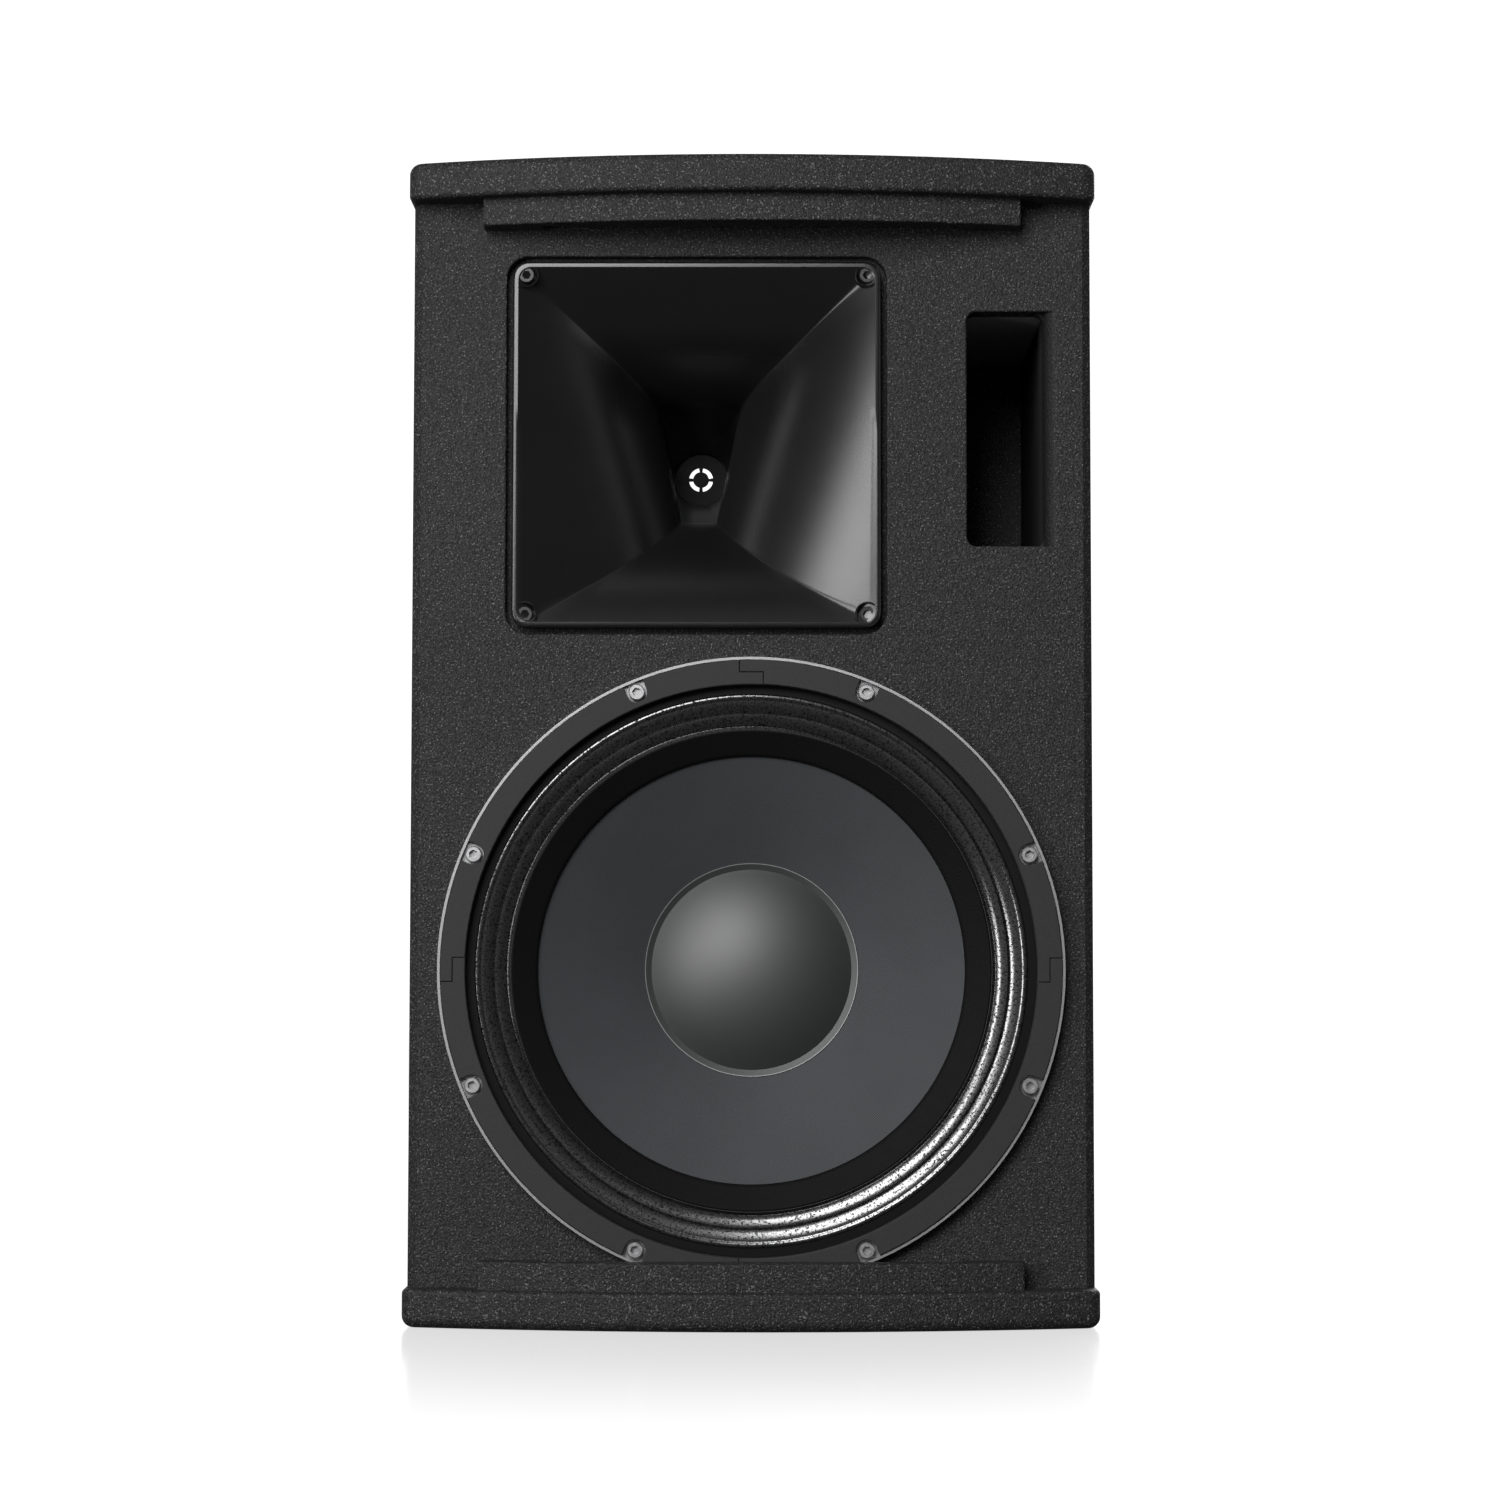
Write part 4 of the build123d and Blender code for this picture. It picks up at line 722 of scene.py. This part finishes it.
# ---- Dust cap ----
# A pressed dome of stiff felt with a narrow brim, glued to the cone by the brim. The dome is part of a
# sphere that passes through the brim's inner edge and the apex.
brim_outer = 0.0674
brim_inner = 0.0633
brim_lift = 0.0009
cap_skin = 0.0008
cap_apex = 0.0302
glue_width = 0.0005
glue_edge = 0.0003
brim_radius = np.linspace(brim_outer, brim_inner, 4)
brim_depth = cone_depth(brim_radius) - brim_lift
dome_rise = brim_depth[-1] - cap_apex
dome_radius = (brim_inner**2 + dome_rise**2) / (2 * dome_rise)
dome_across = brim_inner * np.linspace(1, 0, 40)
dome_depth = cap_apex + dome_radius - np.sqrt(dome_radius**2 - dome_across**2)
cap_radius = np.concatenate([brim_radius[:-1], dome_across])
cap_depth = np.concatenate([brim_depth[:-1], dome_depth])
felt = Recipe("pressed_felt", IOR=1.95)
nap = felt.noise(1700, detail=3, roughness=0.65)
glue = from_woofer_axis(felt).above(brim_outer - glue_width, glue_edge)
fibres = felt.blend(nap, (0.008, 0.0092, 0.0088), (0.020, 0.0225, 0.0215))
felt.feed("Base Color", felt.blend(glue, fibres, (0.22, 0.23, 0.23)))
felt.feed("Roughness", 0.55 + 0.06 * nap)
felt.relief(nap, 0.00008, 0.3)
cap_front = np.stack([cap_radius, baffle_face + cap_depth], axis=1)
cap_rear = cap_front[::-1] + np.array([0, cap_skin])
cap_points = turned(np.concatenate([cap_front, cap_rear]), woofer_x, woofer_z, segments=160)
cap = surface("dust_dome", cap_points, felt.material, sharp=30)
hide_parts("dust_cap")
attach(cap, "cone_assembly")

# ---- Spider and voice coil ----
# The spider is a disc of resin-dipped cotton pressed into rings, glued to the frame and to the coil,
# which it centres. The coil is copper wire in one layer on a thin former that joins the cone's neck.
spider_low, spider_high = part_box("spider")
spider_outer = (spider_high.x - spider_low.x) / 2
spider_front = spider_low.y - baffle_face
ripple_inner = 0.054
ripple_outer = 0.084
ripple_rings = 5
ripple_height = 0.0014
spider_thickness = 0.0010
spider_weave = 0.0011

# Between its flat edges the disc follows a sine, one wave to a ring.
ripple_radius = np.linspace(spider_outer, cone_neck, 110)
ripple_share = np.clip((ripple_outer - ripple_radius) / (ripple_outer - ripple_inner), 0, 1)
ripple_depth = spider_front - ripple_height * np.sin(ripple_share * ripple_rings * 2 * pi)
dipped = Recipe("dipped_cotton", Roughness=0.75)
mesh_pattern = crossed_threads(dipped, spider_weave)
dipped.mottle(mesh_pattern, low=(0.16, 0.10, 0.045), high=(0.36, 0.25, 0.12), depth=0.0003, strength=0.5)
ripples = cloth_ring(
    "spider_rings", ripple_radius, ripple_depth, spider_thickness, dipped.material, segments=120,
)
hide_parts("spider")
travel_with_cone(ripples)

wire_pitch = 0.0006
copper = Recipe("copper_wire", Metallic=0.9)
turns = ((copper.axes()[1] / wire_pitch) * 2 * pi).sine() * 0.5 + 0.5
tarnish = copper.noise(200, detail=3)
copper.mottle(tarnish, low=(0.42, 0.16, 0.07), high=(0.72, 0.33, 0.16), smooth=0.28, rougher=0.15)
copper.relief(turns, 0.0003, 0.7)
copper.coat("voice_coil", "low_pass_inductor", "high_pass_inductor")

# ---- Input plate ----
# A black anodised aluminium plate let into the rear panel and held by screws. It carries two round
# locking sockets moulded in dark nylon.
anodised = Recipe("anodised_plate", Metallic=0.5)
brushed = anodised.noise(500, detail=3, stretch=(0.03, 1, 1))
anodised.mottle(
    brushed, low=(0.010, 0.010, 0.011), high=(0.035, 0.035, 0.037),
    smooth=0.34, rougher=0.2, depth=0.00006, strength=0.4,
)
anodised.coat("input_plate")

dark_nylon = Recipe("socket_nylon")
fleck = dark_nylon.noise(1200, detail=3)
dark_nylon.mottle(
    fleck, low=(0.012, 0.013, 0.016), high=(0.035, 0.038, 0.045),
    smooth=0.36, rougher=0.2, depth=0.0001, strength=0.4,
)
dark_nylon.coat("input_socket", "link_socket")

black_screw = Recipe("black_screw", Metallic=0.5)
wear = black_screw.noise(1500, detail=4)
black_screw.mottle(
    wear, low=(0.012, 0.012, 0.013), high=(0.06, 0.06, 0.062),
    smooth=0.3, rougher=0.25, depth=0.00006, strength=0.3,
)
black_screw.coat("input_plate_screws", "handle_screws", "pole_socket_screws")

# ---- Crossover ----
# A glass-fibre board with two air-cored coils, two film capacitors and a ceramic resistor soldered on.
# It stands on nylon pillars inside the cabinet.
board = Recipe("circuit_board", Roughness=0.45)
tracks = board.cells(70)
traces = tracks.above(0.42, 0.05)
board.mottle(traces, low=(0.012, 0.075, 0.03), high=(0.03, 0.14, 0.055), depth=0.00015, strength=0.5)
board.coat("crossover_board")

pillar = Recipe("pillar_nylon", Roughness=0.5)
milky = pillar.noise(300, detail=3)
pillar.mottle(milky, low=(0.52, 0.52, 0.48), high=(0.72, 0.72, 0.68), depth=0.00006, strength=0.3)
pillar.coat("crossover_standoffs")

film = Recipe("capacitor_film", Roughness=0.3)
wrap = film.noise(240, detail=3, stretch=(1, 1, 0.1))
film.mottle(wrap, low=(0.42, 0.30, 0.06), high=(0.66, 0.50, 0.14), depth=0.0001, strength=0.4)
film.coat("crossover_capacitors")

ceramic = Recipe("resistor_ceramic", Roughness=0.75)
chalk = ceramic.noise(900, detail=5)
ceramic.mottle(chalk, low=(0.48, 0.46, 0.42), high=(0.72, 0.70, 0.66), depth=0.0002, strength=0.5)
ceramic.coat("crossover_resistor")

# ---- Damping foam ----
# A slab of open-cell foam glued to the left side panel, its free face cut into rows of soft peaks. The
# cut is a cosine along times a cosine upward, and a square root rounds the slab off at its edges.
foam_low, foam_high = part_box("damping_foam")
peak_pitch = 0.030
peak_height = 0.011
foam_edge = 0.004
least_crown = 0.02
across = np.linspace(foam_low.y, foam_high.y, 97)
along = np.linspace(foam_low.z, foam_high.z, 61)
grid_y, grid_z = np.meshgrid(across, along)
cut = 0.5 + 0.5 * np.cos(2 * pi * grid_y / peak_pitch) * np.cos(2 * pi * grid_z / peak_pitch)
to_edge = np.minimum(
    np.minimum(grid_y - foam_low.y, foam_high.y - grid_y),
    np.minimum(grid_z - foam_low.z, foam_high.z - grid_z),
)
crown = np.sqrt(np.clip(to_edge / foam_edge, least_crown, 1))
free_face = foam_high.x - peak_height * (1 - cut) - foam_edge * (1 - crown)
front_face = np.stack([free_face, grid_y, grid_z], axis=-1)
glued_face = np.stack([np.full_like(grid_y, foam_low.x), grid_y, grid_z], axis=-1)[:, ::-1]
foam_points = np.concatenate([front_face, glued_face], axis=1)
end_loops = np.concatenate([glued_face[:, ::-1], glued_face], axis=1)
foam_points = np.concatenate([end_loops[:1], foam_points, end_loops[-1:]])
open_cell = Recipe("open_cell_foam", Roughness=0.95)
pores = open_cell.cells(1100)
open_cell.mottle(pores, low=(0.010, 0.010, 0.011), high=(0.055, 0.055, 0.058), depth=0.0006, strength=0.8)
foam = surface("peaked_foam", foam_points, open_cell.material, closed_rows=False, sharp=50)
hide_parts("damping_foam")
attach(foam, "cabinet")

# ---- Handles ----
# A plastic cup let into each side panel and screwed down, with a steel bar across it in a rubber sleeve.
# Ribs go round the sleeve: its radius dips by a squared cosine wave, except near its ends.
cup_moulding = Recipe("handle_moulding")
leather = cup_moulding.cells(1000)
cup_moulding.mottle(
    leather, low=(0.022, 0.022, 0.022), high=(0.010, 0.010, 0.010),
    smooth=0.5, rougher=0.2, depth=0.0003, strength=0.5,
)
cup_moulding.coat("left_handle_cup", "right_handle_cup")

rib_pitch = 0.006
rib_depth = 0.0007
grip_margin = 0.022
sleeve = Recipe("handle_sleeve", Roughness=0.6)
dust = sleeve.noise(700, detail=4)
sleeve.mottle(dust, low=(0.012, 0.012, 0.012), high=(0.032, 0.032, 0.032), depth=0.0002, strength=0.5)
for side in ("left", "right"):
    bar_low, bar_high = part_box(f"{side}_handle_bar")
    bar_radius = (bar_high.z - bar_low.z) / 2
    bar_y = np.linspace(bar_low.y, bar_high.y, 240)
    from_end = np.minimum(bar_y - bar_low.y, bar_high.y - bar_y)
    ribbed = np.clip((from_end - grip_margin) / rib_pitch, 0, 1)
    dip = rib_depth * ribbed * (0.5 - 0.5 * np.cos(2 * pi * bar_y / rib_pitch)) ** 2
    profile = np.concatenate([
        [(0, bar_low.y)],
        np.stack([bar_radius - dip, bar_y], axis=1),
        [(0, bar_high.y)],
    ])
    bar_x = (bar_low.x + bar_high.x) / 2
    bar_z = (bar_low.z + bar_high.z) / 2
    bar_points = turned(profile, bar_x, bar_z, segments=40)
    bar = surface(f"{side}_grip", bar_points, sleeve.material, closed_rows=False, sharp=40)
    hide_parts(f"{side}_handle_bar")
    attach(bar, "cabinet")

# ---- Pole socket ----
# A cast aluminium cup for a stand's pole, powder coated black, let into the underside and held by
# screws.
powder = Recipe("black_powder_coat")
orange_peel = powder.noise(800, detail=3)
powder.mottle(
    orange_peel, low=(0.012, 0.012, 0.012), high=(0.035, 0.035, 0.036),
    smooth=0.42, rougher=0.2, depth=0.0002, strength=0.5,
)
powder.coat("pole_socket")

# ---- Floor ----
# The pale polished floor under the cabinet and the white wall behind it. Both glow, so that they stay
# even far from the lights, and the floor mirrors the foot of the cabinet softly.
floor_half = 14.0
floor_drop = 0.0002
wall_y = 9.0
wall_height = 6.0
mirror_share = 0.34
polish_start = 0.22
polish_reach = 0.6
polish_roughness = 0.16


def card(name, corner, along, up, material):
    """A flat card: a corner, and that corner moved along, up and by both. Its glow doesn't reach matt
    surfaces, so it leaves the light on the cabinet alone."""
    share = np.array([0.0, 1.0])
    points = np.array(corner) + share[:, None, None] * np.array(along) + share[:, None] * np.array(up)
    piece = surface(name, points, material, closed_rows=False, closed_columns=False)
    piece.visible_diffuse = False
    return piece


sweep = Recipe(
    "pale_sweep", Roughness=1.0, Specular_IOR_Level=0.0, Emission_Color=(1.0, 1.0, 1.0, 1),
    Emission_Strength=1.0,
)
sweep.feed("Base Color", sweep.blend(sweep.noise(3, detail=2), (0.10, 0.10, 0.10), (0.12, 0.12, 0.12)))
x, y, _ = sweep.axes()
from_middle = (x * x + y * y) ** 0.5
nearness = 1 - from_middle.above(polish_start + polish_reach / 2, polish_reach)
gloss = {"Color": (1, 1, 1, 1), "Roughness": polish_roughness}
mirror = sweep.node("ShaderNodeBsdfGlossy", None, gloss)
matt = Wire(sweep, sweep.shader.outputs[0])
polished = sweep.node("ShaderNodeMixShader", None, {0: mirror_share * nearness, 1: matt, 2: mirror})
sweep.tree.links.new(polished.socket, sweep.tree.nodes["Material Output"].inputs["Surface"])
low = cad_box[0].z - floor_drop
to_wall = (0, floor_half + wall_y, 0)
floor = card("floor", (-floor_half, -floor_half, low), (2 * floor_half, 0, 0), to_wall, sweep.material)

# The floor isn't mirrored in the glossy parts of the cabinet.
floor.visible_glossy = False

plaster = Recipe("white_wall", Roughness=1.0, Emission_Strength=1.0)
stipple = plaster.noise(2, detail=2)
plaster.feed("Emission Color", plaster.blend(stipple, (1.0, 1.0, 1.0), (1.03, 1.03, 1.03)))
card("wall", (-floor_half, wall_y, low), (2 * floor_half, 0, 0), (0, 0, wall_height), plaster.material)
